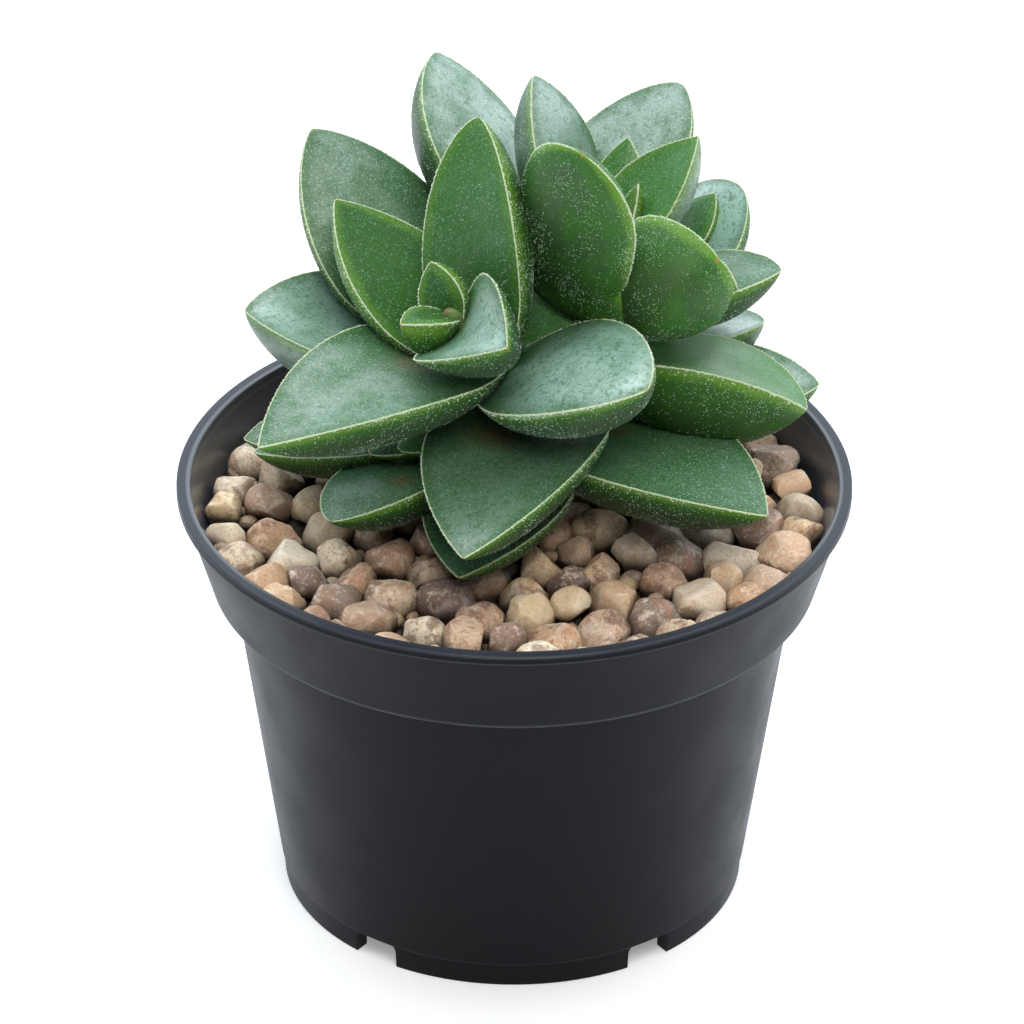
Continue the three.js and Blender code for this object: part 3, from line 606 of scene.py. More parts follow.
def plastic_finish(pot):
    """Satin black plastic: faint mottling, a fine moulded grain and a little dust.

    The lip's flat top and the collar's inner wall shine more, and a painted reflection makes them paler.
    Thin paler lines under the lip and the collar are painted highlights. All are found from the height
    and the distance to the axis.
    """
    colour = tuple(pot.colour)
    wall, collar, under = pot.wall / MM, pot.collar_z / MM, POT_HEIGHT - pot.lip_height / MM
    edge = pot.collar_radius / MM
    make = Finish("pot_plastic", Specular_IOR_Level=0.12, IOR=1.46, Sheen_Weight=0.045, Sheen_Roughness=0.4,
                  Sheen_Tint=(0.62, 0.75, 1.0), Coat_IOR=1.5, Coat_Roughness=0.25)
    x, y, z = (make.split(make.place, axis) * (1 / MM) for axis in "XYZ")
    radius = (x * x + y * y) ** 0.5
    lip = z.step(POT_HEIGHT - 0.4, POT_HEIGHT - 0.2)
    inside = (radius - z * INSIDE_SLOPE).step(INSIDE_RADIUS + 0.2, INSIDE_RADIUS - 0.2)
    inside = inside * z.step(collar + wall - 0.3, collar + wall + 0.7)
    under_lip = z.step(under - 0.2, under) * z.step(under + 0.35, under + 0.15)
    under_collar = z.step(collar - 0.1, collar + 0.1) * z.step(collar + 0.7, collar + 0.4)
    under_collar = under_collar * radius.step(edge - 0.4, edge - 0.2)
    broad = make.noise(9, 3)
    grain = make.noise(0.35, 2)
    specks = make.cells(1.1).step(0.05, 0.09, 1, 0) * make.noise(6, 2, shift=3).step(0.55, 0.7)
    base = make.mixed(broad.step(0.35, 0.7), colour, tuple(1.25 * c for c in colour))
    base = make.mixed(specks * 0.2, base, PLASTIC_DUST)
    # Painted reflection: the lip's flat top is paler and bluer
    base = make.mixed(lip * (broad * 0.5 + 0.5), base, PLASTIC_LIP_PAINTED_REFLECTION)
    # Painted reflection: the collar's inner wall is paler
    base = make.mixed(inside * 0.35, base, PLASTIC_INSIDE_PAINTED_REFLECTION)
    # Painted highlight: thin paler lines under the lip and under the collar's edge
    base = make.mixed((under_lip + under_collar) * (broad * 0.6 + 0.2), base, PLASTIC_EDGE_PAINTED_HIGHLIGHT)
    rough = broad.step(0.3, 0.75, 0.36, 0.46) + grain * 0.06
    return make.dress(Base_Color=base, Roughness=rough, Coat_Weight=lip * 0.3 + inside * 0.9,
                      Normal=make.bump(grain, 0.012, 0.6))


def mix_finish(colour):
    """Potting mix: dark crumbs of bark and peat with a few pale specks of perlite."""
    make = Finish("mix_crumbs", Specular_IOR_Level=0.2)
    crumbs = make.cells(0.9)
    tone = make.first(make.cells(0.9, "Color"))
    base = make.mixed(tone, colour, tuple(3.2 * c for c in colour))
    base = make.mixed(tone.step(0.93, 0.97), base, PERLITE)
    return make.dress(Base_Color=base, Roughness=tone * 0.15 + 0.8, Normal=make.bump(crumbs, 0.5))


def stone_finish():
    """Chipped gravel: each stone has its own tint and shade, with patches, stains, specks and fine grain."""
    make = Finish("gravel_stone", Specular_IOR_Level=0.3)
    tint, shade = make.fact("tint"), make.fact("shade")
    base = make.ramp(tint, STONE_TINTS)
    patch = make.noise(3.4, 4, 0.62, shift=0.4)
    mottle = make.noise(1.5, 4, 0.65)
    grain = make.noise(0.45, 3, 0.75)
    base = make.mixed(patch.step(0.52, 0.60, 0, 0.75) * shade.step(0.35, 0.75), base, STONE_STAIN)
    base = make.mixed(patch.step(0.46, 0.38, 0, 0.6) * shade.step(0.3, 0.7), base, STONE_RUST)
    base = make.mixed(mottle.step(0.52, 0.68, 0, 0.6), base, STONE_CREAM)
    base = make.mixed(mottle.step(0.44, 0.30, 0, 0.35), base, STONE_BROWN)
    base = make.mixed(grain.step(0.46, 0.32, 0, 0.4), base, STONE_SPECK)
    base = make.mixed(grain.step(0.55, 0.70, 0, 0.5), base, STONE_CHALK)
    crack = make.noise(2.8, 4, 0.6, shift=0.9) - 0.5
    vein = (crack * crack).step(0.0, 0.00022, 0.5, 0) * shade.step(0.2, 0.6)
    base = make.mixed(vein, base, STONE_VEIN)
    base = make.mixed(make.fact("ridge").step(0.6, 1.0, 0, 0.35), base, STONE_CHALK)
    # Painted shade: darker down each stone's sides and all over the lower layers
    base = make.mixed(make.fact("painted_shade"), base, STONE_PAINTED_SHADE)
    height = grain * 0.45 + mottle * 0.55
    return make.dress(Base_Color=base, Roughness=mottle.step(0.35, 0.7, 0.5, 0.72),
                      Normal=make.bump(height, 0.34, 0.9))


def bark_finish():
    """Young stem: pale green skin with brown corky streaks."""
    make = Finish("stem_bark", Specular_IOR_Level=0.3)
    cork = make.noise(2.0, 4)
    base = make.mixed(cork.step(0.42, 0.62), BARK_GREEN, BARK_BROWN)
    return make.dress(Base_Color=base, Roughness=cork * 0.2 + 0.55, Normal=make.bump(cork, 0.3))


def leaf_finish(plant):
    """Leaf skin, drawn by the facts that each leaf carries.

    rim is the distance to the margin and tip the distance to the point, in millimetres. side runs
    from -1 on the lower face to 1 on the upper, and along from 0 at the root to 1 at the tip. bloom
    is how grey the leaf's waxy coat is, over 1 also as painted sheen, and waxed the same with the lower
    face's own share. scar is where the skin has turned to cork, and bead is 1 on papillae and 2 on the
    margin's beads.
    """
    make = Finish("leaf_skin", Specular_IOR_Level=0.16, IOR=1.45, Coat_IOR=2.1, Coat_Roughness=0.36)
    rim, tip, side, bloom, waxed, along, bead, scar = (
        make.fact(name) for name in ("rim", "tip", "side", "bloom", "waxed", "along", "bead", "scar"))
    broad = make.noise(6, 3)
    patchy = make.noise(2.4, 4, 0.6, shift=0.2)
    worms = make.noise(0.75, 1, 0.5, shift=0.5, warp=0.9)
    sand = make.noise(0.3, 2, shift=2.1)
    pits = worms.step(0.46, 0.34)
    upper = side.step(-0.1, 0.3)
    lower = 1 - upper
    aged = bloom.step(0.15, 0.5)

    # Flesh: deep green, with painted shade that makes it darker and greyer under the belly, vivid on the
    # upper face of a half-grown leaf, with yellow-green beside the margin
    base = make.mixed(patchy.step(0.4, 0.7, 0, 0.6), tuple(plant.green), SHADED_GREEN)
    # Painted shade: the lower face darker and greyer away from the margin, and darker olive in broad patches
    # further in
    base = make.mixed(lower * aged * rim.step(0.6, 3.5, 0.35, 0.85), base, BELLY_PAINTED_SHADE)
    base = make.mixed(lower * rim.step(3.0, 7.0, 0, 0.55) * broad.step(0.35, 0.6), base, BELLY_PAINTED_SHADE_OLIVE)
    base = make.mixed(upper * 0.4, base, UPPER_GREEN)
    half_grown = bloom.step(0.22, 0.28) * bloom.step(0.5, 0.35)
    base = make.mixed(upper * half_grown * 0.5, base, VIVID_GREEN)
    width = broad.step(0.35, 0.65, 0.7, 1.5)
    near = (rim * aged.step(0, 1, 0.42, 0.77) + patchy * 0.3 - width * 0.2).step(0.85, 0.1)
    band = near * (lower * (0.85 - aged * 0.2) + upper * (0.5 - aged * 0.4)) * along.step(0.15, 0.6, 0.4, 1.0)
    base = make.mixed(band, base, tuple(plant.fresh))

    # The waxy bloom: pale grains between dark worm-like pits, thick towards the tip of an old leaf. Its
    # spread is partly painted light: painted sheen in the middle of a face and painted shade at the root
    inner = rim.step(0.2, 2.6, 0.5, 1.0)
    # Painted shade thins the bloom towards the root, and painted sheen keeps it off the margins
    wax_and_sheen_cover = along.step(0.03, 0.65, 0.15, 1.0) * broad.step(0.3, 0.7, 0.6, 1.1) * inner
    grains = sand.step(0.3, 0.6, 0.8, 1.0) * (1 - pits * 0.3)
    blotches = patchy.step(0.38, 0.6, 0.85, 1.0)
    wax_and_sheen = waxed * 0.38 * wax_and_sheen_cover * grains * blotches
    base = make.mixed(wax_and_sheen, base, tuple(plant.bloom))
    base = make.mixed(pits * (upper * 0.35 + 0.05), base, PIT_GREEN)
    flecks = make.noise(0.28, 1, shift=3.3).step(0.56, 0.68)
    base = make.mixed(flecks * (upper * aged.step(0, 1, 0.15, 0.36) + 0.06), base, FLECK)

    # Cork, the hardened margin line, the brown point and the pale papillae
    cork = scar * make.noise(0.9, 4, 0.7, shift=1.7).step(0.38, 0.54)
    base = make.mixed(cork * 0.9, base, CORK)
    edge = rim + (make.noise(0.6, 2, shift=1.1) - 0.5) * 0.2
    line = edge.step(0.18, 0.08)
    base = make.mixed(line * 0.8, base, tuple(plant.margin))
    point = (tip + (patchy - 0.5) * 0.6).step(0.38, 0.12)
    base = make.mixed(point * 0.7, base, tuple(plant.tip))
    base = make.mixed(bead.step(0.2, 0.8) * 0.85, base, PALE_PAPILLA)
    base = make.mixed(bead.step(1.2, 1.8), base, tuple(plant.margin))

    # The shine of the wax, and the relief of sand, pits, flecks and cork
    coat = grains * (1 - scar) * waxed.step(0.0, 1.2) * along.step(0.03, 0.55, 0.2, 1.0) * (1 - line)
    coat = coat * broad.step(0.38, 0.6, 0.6, 1.3) * inner
    rough = sand.step(0.35, 0.6, 0.50, 0.42) + line * 0.1 + bead * 0.05
    height = sand * 0.3 + flecks * 0.25 - pits * 0.2 + patchy * 0.15 - cork * 0.3
    return make.dress(Base_Color=base, Roughness=rough, Coat_Weight=coat,
                      Normal=make.bump(height, 0.12, 0.9))


def floor_finish():
    """Seamless white paper."""
    make = Finish("studio_floor", Specular_IOR_Level=0.0, Roughness=0.9, Emission_Strength=0.29,
                  Emission_Color=(1, 1, 1))
    paper = make.noise(60, 2)
    return make.dress(Base_Color=make.mixed(paper, (PAPER_DARK,) * 3, (PAPER_LIGHT,) * 3))


# Leaves

def leaf_axes(leaf):
    """The leaf's directions: along its length, across to its right edge, and out of its upper face."""
    azimuth, rise, roll = (math.radians(leaf[key]) for key in ("azimuth", "rise", "roll"))
    along = np.array([math.cos(rise) * math.cos(azimuth), math.cos(rise) * math.sin(azimuth), math.sin(rise)])
    level = np.array([math.sin(azimuth), -math.cos(azimuth), 0])
    above = np.cross(level, along)
    out = above * math.cos(roll) + level * math.sin(roll)
    across = level * math.cos(roll) - above * math.sin(roll)
    return along, across, out


def half_width(leaf, t):
    """Half width at t: a quarter sine from the root to the widest place, then a blunt arch to the tip."""
    widest, root = leaf["widest"], leaf["root"]
    rising = root + (1 - root) * np.sin(np.pi / 2 * np.clip(t / widest, 0, 1))
    share = np.clip((t - widest) / (1 - widest), 0, 1)
    return leaf["width"] / 2 * np.where(t < widest, rising, (1 - share ** 2) ** leaf["blunt"])


def belly_depth(leaf, t):
    """Depth of the lower face: it grows as half a sine to the middle, then falls in a blunt curve."""
    near = BELLY_AT_ROOT + (1 - BELLY_AT_ROOT) * np.sin(np.pi * np.clip(t, 0, 0.5))
    far = (1 - np.clip(2 * t - 1, 0, 1) ** BELLY_FALL) ** BELLY_BLUNT
    return leaf["thick"] * np.where(t < 0.5, near, far)


def leaf_skin(leaf, t, angle, unevenness):
    """Points of the leaf's skin at t, from root to tip, and angle, round the section, with their facts.

    The spine is an arc of the leaf's length that turns through bend. Across it the upper face is a
    parabola of the dome's height, the lower face half an ellipse of the belly's depth, and both lean
    up to the margins by cup. v = cos(angle) runs from one margin to the other.
    """
    v, is_upper = np.cos(angle), np.sin(angle) >= 0
    bend = math.radians(leaf["bend"]) or 1e-4
    turn = bend * (t - 0.5)
    reach = leaf["length"] / bend * (np.sin(turn) + math.sin(bend / 2))
    lift = -leaf["length"] / bend * (np.cos(turn) - math.cos(bend / 2))
    half = half_width(leaf, t)
    inside = 1 - v ** 2
    upper = leaf["dome"] * np.sin(np.pi * t) ** DOME_FLATNESS * inside
    lower = -belly_depth(leaf, t) * np.sqrt(inside)
    face = np.where(is_upper, upper, lower) + math.tan(math.radians(leaf["cup"])) * half * v ** 2
    face = face + unevenness * wander(leaf, t, v, is_upper) * np.sqrt(inside) * np.sin(np.pi * t)
    along, across, out = leaf_axes(leaf)
    origin = np.array([leaf["x"], leaf["y"], leaf["z"]])
    points = (origin + (reach - np.sin(turn) * face)[..., None] * along
              + (half * v)[..., None] * across
              + (lift + np.cos(turn) * face)[..., None] * out)
    scar_t, scar_v, scar_size = SCARS.get(leaf["name"], NO_SCAR)
    wax_below = LOWER_WAX.get(leaf["name"], USUAL_LOWER_WAX)
    apart = np.hypot((t - scar_t) * leaf["length"], (v - scar_v) * half) / scar_size
    facts = {
        "rim": half * (1 - np.abs(v)) + RIM_SHARE_OF_DEPTH * np.where(is_upper, 0, -lower),
        "tip": leaf["length"] * (1 - t) + half * np.abs(v),
        "side": np.sin(angle) + 0 * t,
        "bloom": leaf["bloom"] + 0 * (t + angle),
        "waxed": leaf["bloom"] * np.where(is_upper, 1, wax_below) + 0 * t,
        "along": t + 0 * angle,
        "scar": np.exp(-apart ** 2) * is_upper,
        "bead": 0 * (t + angle),
    }
    return points, facts


def leaf_grid(leaf, plant):
    """The leaf's skin as rings of points that crowd towards the tip, with their facts."""
    t = LAST_ROW * (1 - (1 - np.linspace(0, 1, plant.rows)) ** TIP_CROWDING)[:, None]
    angle = np.arange(plant.columns)[None, :] * 2 * np.pi / plant.columns
    return leaf_skin(leaf, t, angle, plant.unevenness / MM)


def spread_papillae(leaf, plant, rng):
    """Where papillae stand: t and angle, drawn evenly over the skin and thinned in slow waves."""
    count = int(CANDIDATES * leaf["length"] * leaf["width"])
    t, angle = rng.uniform(*PAPILLA_SPAN, count), rng.uniform(0, 2 * np.pi, count)
    area = np.linalg.norm(skin_frame(leaf, plant, t, angle)[1], axis=1)
    v = np.cos(angle)
    waves = np.sin(7 * t + 3 * v + leaf["x"]) * np.sin(6 * v - 4 * t + leaf["z"])
    waves = waves + 0.4 * np.sin(19 * t + leaf["y"])
    is_young = leaf["bloom"] < YOUNG_BLOOM
    crowd = np.clip(WAVE_MEAN + WAVE_SWING * waves, LEAST_CROWD, 1) + MARGIN_CROWD * v ** MARGIN_SHARPNESS
    crowd = crowd * (1 if is_young else OLD_CROWD)
    above = UPPER_CROWD_YOUNG if is_young else UPPER_CROWD_OLD
    crowd = np.where(np.sin(angle) < 0, crowd, above * crowd)
    chance = plant.papillae * crowd * area * 2 * np.pi / count
    kept = rng.uniform(0, 1, count) < chance
    return t[kept], angle[kept]


def skin_frame(leaf, plant, t, angle):
    """Points of the skin and their outward normals, as long as the skin's area per step of t and angle."""
    step = 1e-3
    uneven = plant.unevenness / MM
    place = leaf_skin(leaf, t, angle, uneven)[0]
    ahead = (leaf_skin(leaf, t + step, angle, uneven)[0] - place) / step
    round_it = (leaf_skin(leaf, t, angle + step, uneven)[0] - place) / step
    normal = np.cross(ahead, round_it)
    is_upper = (np.sin(angle) > 0.3)[:, None]
    side = np.sign((normal * is_upper).sum(0) @ leaf_axes(leaf)[2]) or 1
    return place, side * normal


def spread_beads(leaf, rng):
    """Where the margin's beads stand: evenly along both margins, shaken a little."""
    t = np.linspace(*BEAD_SPAN, 400)
    found = []
    for margin in (0.0, np.pi):
        place = leaf_skin(leaf, t, margin + 0 * t, 0)[0]
        run = np.concatenate([[0], np.cumsum(np.linalg.norm(np.diff(place, axis=0), axis=1))])
        at = np.arange(0, run[-1], BEAD_SPACING)
        at = np.clip(at + rng.normal(0, BEAD_SHAKE, len(at)), 0, run[-1])
        found.append(np.stack([np.interp(at, run, t), margin + rng.normal(0, BEAD_DRIFT, len(at))]))
    return np.concatenate(found, 1)


def bead_mesh(leaf, plant, t, angle, sizes, kind, rng):
    """Small double cones on the skin, with the facts of the skin where they stand.

    sizes holds the least and the range of the radius, of the height over the radius and of the
    length over the radius.
    """
    place, normal = skin_frame(leaf, plant, t, angle)
    normal = normal / np.maximum(np.linalg.norm(normal, axis=1, keepdims=True), 1e-9)
    spin = rng.normal(0, 1, place.shape)
    first = np.cross(normal, spin)
    first /= np.linalg.norm(first, axis=1, keepdims=True)
    second = np.cross(normal, first)
    radius, tall, long = (least + span * rng.uniform(0, 1, (len(t), 1)) for least, span in sizes)
    round_it = np.arange(BEAD_SIDES) * 2 * np.pi / BEAD_SIDES
    x = np.concatenate([np.cos(round_it), [0, 0]])[None, :, None]
    y = np.concatenate([np.sin(round_it), [0, 0]])[None, :, None]
    z = np.concatenate([0 * round_it, [-1, 1]])[None, :, None]
    points = place[:, None] + radius[:, None] * (
        x * first[:, None] * long[:, None] + y * second[:, None] + z * normal[:, None] * tall[:, None])
    j = np.arange(BEAD_SIDES)
    k = (j + 1) % BEAD_SIDES
    low, high = np.full(BEAD_SIDES, BEAD_SIDES), np.full(BEAD_SIDES, BEAD_SIDES + 1)
    one = np.concatenate([np.stack([k, j, low], -1), np.stack([j, k, high], -1)])
    faces = (np.arange(len(t))[:, None, None] * (BEAD_SIDES + 2) + one).reshape(-1, 3)
    facts = leaf_skin(leaf, t, angle, 0)[1]
    facts["bead"] = kind + 0 * t
    facts = {name: np.repeat(values, BEAD_SIDES + 2) for name, values in facts.items()}
    return points.reshape(-1, 3), faces, facts


def wander(leaf, t, v, is_upper):
    """Slow unevenness between -1 and 1: three crossing waves whose phases come from the leaf's place."""
    seed = leaf["x"] * 1.7 + leaf["y"] * 2.3 + leaf["z"] * 0.9 + np.where(is_upper, 0, 2.1)
    waves = np.sin(9 * t + 2.2 * v + seed) + np.sin(5 * t - 4.1 * v + 2 * seed)
    return (waves + np.sin(15 * t + 3 * seed + v)) / 3


def with_ends(values):
    """A grid of facts as one list, with the means of the first and last ring for the two end points."""
    return np.concatenate([values.reshape(-1), values[:1].mean(1), values[-1:].mean(1)])


# Gravel

def draw(i, k):
    """A repeatable draw between 0 and 1 for pebble i and purpose k, the same as in the model's source."""
    value = np.sin(i * 12.9898 + k * 78.233) * 43758.5453
    return value - np.floor(value)


PEBBLE_RINGS = (39, 32.6, 26.2, 19.8, 13.4, 7)
PEBBLE_SPACING = 6.5
PEBBLE_SCATTER = 2.6
PEBBLE_TOP_RANGE = 1.4
PEBBLE_LENGTH = 1.05
PEBBLE_BREADTH = (0.85, 0.15)
PEBBLE_HEIGHT = (0.7, 0.2)
PEBBLE_TILT = 0.5
PEBBLE_WALL_CLEAR = 0.2
SETTLE_ROUNDS = 30
SETTLE_CONTACT = 0.94

# The layer under the top stones, and the small chips
UNDER_INSET = 3.2
UNDER_SPACING = 6.2
UNDER_SCATTER = 3.0
UNDER_SIZES = (2.6, 1.2)
UNDER_SINK = 4.8
UNDER_RANGE = 1.2
UNDER_FIRST = 300
CHIP_NUMBERS = (1000, 2000)
CHIP_SIZES = (1.0, 0.9)
CHIP_SINK = 3.8
CHIP_RANGE = 2.0
CHIP_WALL_CLEAR = 1.2
CHIP_COVERED = (0.80, 0.45)

# Each layer's splits of the ball, planes knocked off it, hardness of its facets, and painted shade
TOP_LAYER = (3, 11, 60, 0)
UNDER_LAYER = (2, 9, 16, 0.85)
CHIP_LAYER = (1, 7, 12, 0.45)
PLANE_DEPTH = (0.62, 0.36)
RIDGE_SHARPNESS = 6
LUMP_HEIGHT = 0.012
STONE_TALL = 1.15
STONE_SWELL = 1.08
# Painted shade down a stone: where it starts below the top, over what share of the size it grows, and its
# curve
SHADE_PAINT_FROM = 0.25
SHADE_PAINT_OVER = 0.75
SHADE_PAINT_CURVE = 1.3
STONE_CREASE = 30


def collar_inner(pot, z):
    """Inner radius of the collar at height z: a straight taper up to the lip."""
    bottom = (pot.collar_radius - pot.wall) / MM
    share = (z - pot.collar_z / MM) / (POT_HEIGHT - pot.collar_z / MM)
    return bottom + (RIM_RADIUS - pot.lip_width / MM - bottom) * share


def scatter_pebbles(rings, spacing, scatter, sizes, first=0):
    """Pebbles on rings about the axis, each ring evenly spaced and then shaken."""
    found = []
    for ring in rings:
        count = int(2 * math.pi * ring / spacing)
        for j in range(count):
            i = first + len(found) + 1
            angle = 2 * math.pi * (j + 0.5 * draw(i, 1)) / count
            radius = ring + scatter * (draw(i, 2) - 0.5)
            size = sizes[0] + sizes[1] * draw(i, 3)
            found.append([i, radius * math.cos(angle), radius * math.sin(angle), size])
    return np.array(found)


def settle_pebbles(pebbles, wall):
    """Pushes overlapping pebbles apart pair by pair, and back inside the wall."""
    rows = pebbles.tolist()
    for _ in range(SETTLE_ROUNDS):
        for a in rows:
            for b in rows:
                apart = math.hypot(b[1] - a[1], b[2] - a[2])
                reach = SETTLE_CONTACT * (a[3] + b[3])
                if b[0] > a[0] and apart < reach:
                    push = (reach - apart) / 2 / apart
                    dx, dy = (b[1] - a[1]) * push, (b[2] - a[2]) * push
                    a[1] -= dx
                    a[2] -= dy
                    b[1] += dx
                    b[2] += dy
        for row in rows:
            out = math.hypot(row[1], row[2])
            limit = wall - row[3]
            if out > limit:
                row[1] *= limit / out
                row[2] *= limit / out
    return np.array(rows)


def round_stone(levels):
    """Points on a unit ball and its triangles: an icosahedron split levels times."""
    golden = (1 + math.sqrt(5)) / 2
    points = [(-1, golden, 0), (1, golden, 0), (-1, -golden, 0), (1, -golden, 0), (0, -1, golden),
              (0, 1, golden), (0, -1, -golden), (0, 1, -golden), (golden, 0, -1), (golden, 0, 1),
              (-golden, 0, -1), (-golden, 0, 1)]
    corners = [(0, 11, 5), (0, 5, 1), (0, 1, 7), (0, 7, 10), (0, 10, 11), (1, 5, 9), (5, 11, 4),
               (11, 10, 2), (10, 7, 6), (7, 1, 8), (3, 9, 4), (3, 4, 2), (3, 2, 6), (3, 6, 8), (3, 8, 9),
               (4, 9, 5), (2, 4, 11), (6, 2, 10), (8, 6, 7), (9, 8, 1)]
    points, faces = np.array(points, float), np.array(corners)
    for _ in range(levels):
        a, b, c = (points[faces[:, n]] for n in range(3))
        parts = np.stack([a, b, c, a + b, b + c, c + a], 1)
        parts /= np.linalg.norm(parts, axis=-1, keepdims=True)
        base = np.arange(len(faces))[:, None] * 6
        faces = np.concatenate([base + row for row in ([0, 3, 5], [3, 1, 4], [5, 4, 2], [3, 4, 5])])
        points, back = np.unique(parts.reshape(-1, 3).round(7), axis=0, return_inverse=True)
        faces = back.reshape(-1)[faces]
    return points / np.linalg.norm(points, axis=1, keepdims=True), faces


def chipped(ball, i, chips, hardness):
    """A ball with chips planes knocked off it, and how near each point is to a ridge between two.

    Along each direction the radius is (1 + sum of (lean / depth) ** hardness) ** (-1 / hardness), where
    lean is the cosine to a plane's normal and depth the plane's distance. A high hardness gives crisp
    facets, and a low one soft ones.
    """
    k = np.arange(chips)
    up = 2 * draw(i, 30 + k) - 1
    spin = 2 * np.pi * draw(i, 60 + k)
    flat = np.sqrt(1 - up ** 2)
    normals = np.stack([flat * np.cos(spin), flat * np.sin(spin), up], -1)
    depth = PLANE_DEPTH[0] + PLANE_DEPTH[1] * draw(i, 90 + k)
    lean = np.clip(ball @ normals.T, 0, None) / depth
    radius = (1 + (lean ** hardness).sum(1)) ** (-1 / hardness)
    lumps = np.sin(ball * 4.3 + i * 1.3).sum(1) + np.sin(ball[:, [1, 2, 0]] * 7.9 + i * 2.1).sum(1)
    nearest = np.sort(lean, 1)
    ridge = (nearest[:, -2] / np.maximum(nearest[:, -1], 1e-6)) ** RIDGE_SHARPNESS
    return ball * (radius * (1 + LUMP_HEIGHT * lumps))[:, None], ridge


def turns(about_x, about_y, about_z):
    """A rotation matrix: about X first, then Y, then Z."""
    rotation = Matrix.Rotation(about_z, 3, "Z") @ Matrix.Rotation(about_y, 3, "Y")
    return np.array(rotation @ Matrix.Rotation(about_x, 3, "X"))


def stones_mesh(name, pebbles, tops, layer, material):
    """One mesh of many stones. Each is a chipped ball, scaled, turned and set with its top at tops.

    Painted shade makes a stone darker from its top down, and all over where its layer lies low.
    """
    levels, chips, hardness, painted_shade = layer
    ball, faces = round_stone(levels)
    points, tints, shades, painted_shades, ridges = [], [], [], [], []
    for (i, x, y, size), top in zip(pebbles.tolist(), tops):
        height = size * (PEBBLE_HEIGHT[0] + PEBBLE_HEIGHT[1] * draw(i, 4))
        breadth = size * (PEBBLE_BREADTH[0] + PEBBLE_BREADTH[1] * draw(i, 5))
        stone, ridge = chipped(ball, i, chips, hardness)
        stone = stone * [size * PEBBLE_LENGTH, breadth, STONE_TALL * height] * STONE_SWELL
        tilt_x, tilt_y = (PEBBLE_TILT * (draw(i, k) - 0.5) for k in (6, 7))
        stone = stone @ turns(tilt_x, tilt_y, 2 * math.pi * draw(i, 8)).T
        below = (stone[:, 2].max() - stone[:, 2]) / size
        # Painted shade, from the layer's own share and from the depth below the stone's top
        painted_shades.append(painted_shade + (1 - painted_shade) * np.clip((below - SHADE_PAINT_FROM) / SHADE_PAINT_OVER, 0, 1) ** SHADE_PAINT_CURVE)
        ridges.append(ridge)
        points.append(stone + [x, y, top - stone[:, 2].max()])
        tints.append(np.full(len(ball), draw(i, 10)))
        shades.append(np.full(len(ball), draw(i, 11)))
    count = len(pebbles)
    all_faces = (np.arange(count)[:, None, None] * len(ball) + faces).reshape(-1, 3)
    first = points[0] - points[0].mean(0)
    if volume_of(first, faces) < 0:
        all_faces = all_faces[:, ::-1]
    facts = {"tint": np.concatenate(tints), "shade": np.concatenate(shades),
             "painted_shade": np.concatenate(painted_shades), "ridge": np.concatenate(ridges)}
    return mesh_piece(name, np.concatenate(points), [all_faces], material, facts, STONE_CREASE)


# The camera's sensor in millimetres and reach in metres, and the light: the room's level in front and
# behind, the white that the camera sees, and each soft light's place, target, size, power and colour
SENSOR_WIDTH = 36
VIEW_END = 20
ROOM_LEVELS = (0.12, 2.0)
BACKDROP_LEVEL = 1.02
LIGHTS = (
    ("key", (0.1, 0.2, 1.2), (0, 0, 0.06), 1.5, 8.6, (1.0, 0.98, 0.95)),
    ("fill", (0.1, -0.9, 1.2), (0, 0, 0.05), 0.7, 11.0, (1.0, 0.96, 0.91)),
)


# Operators

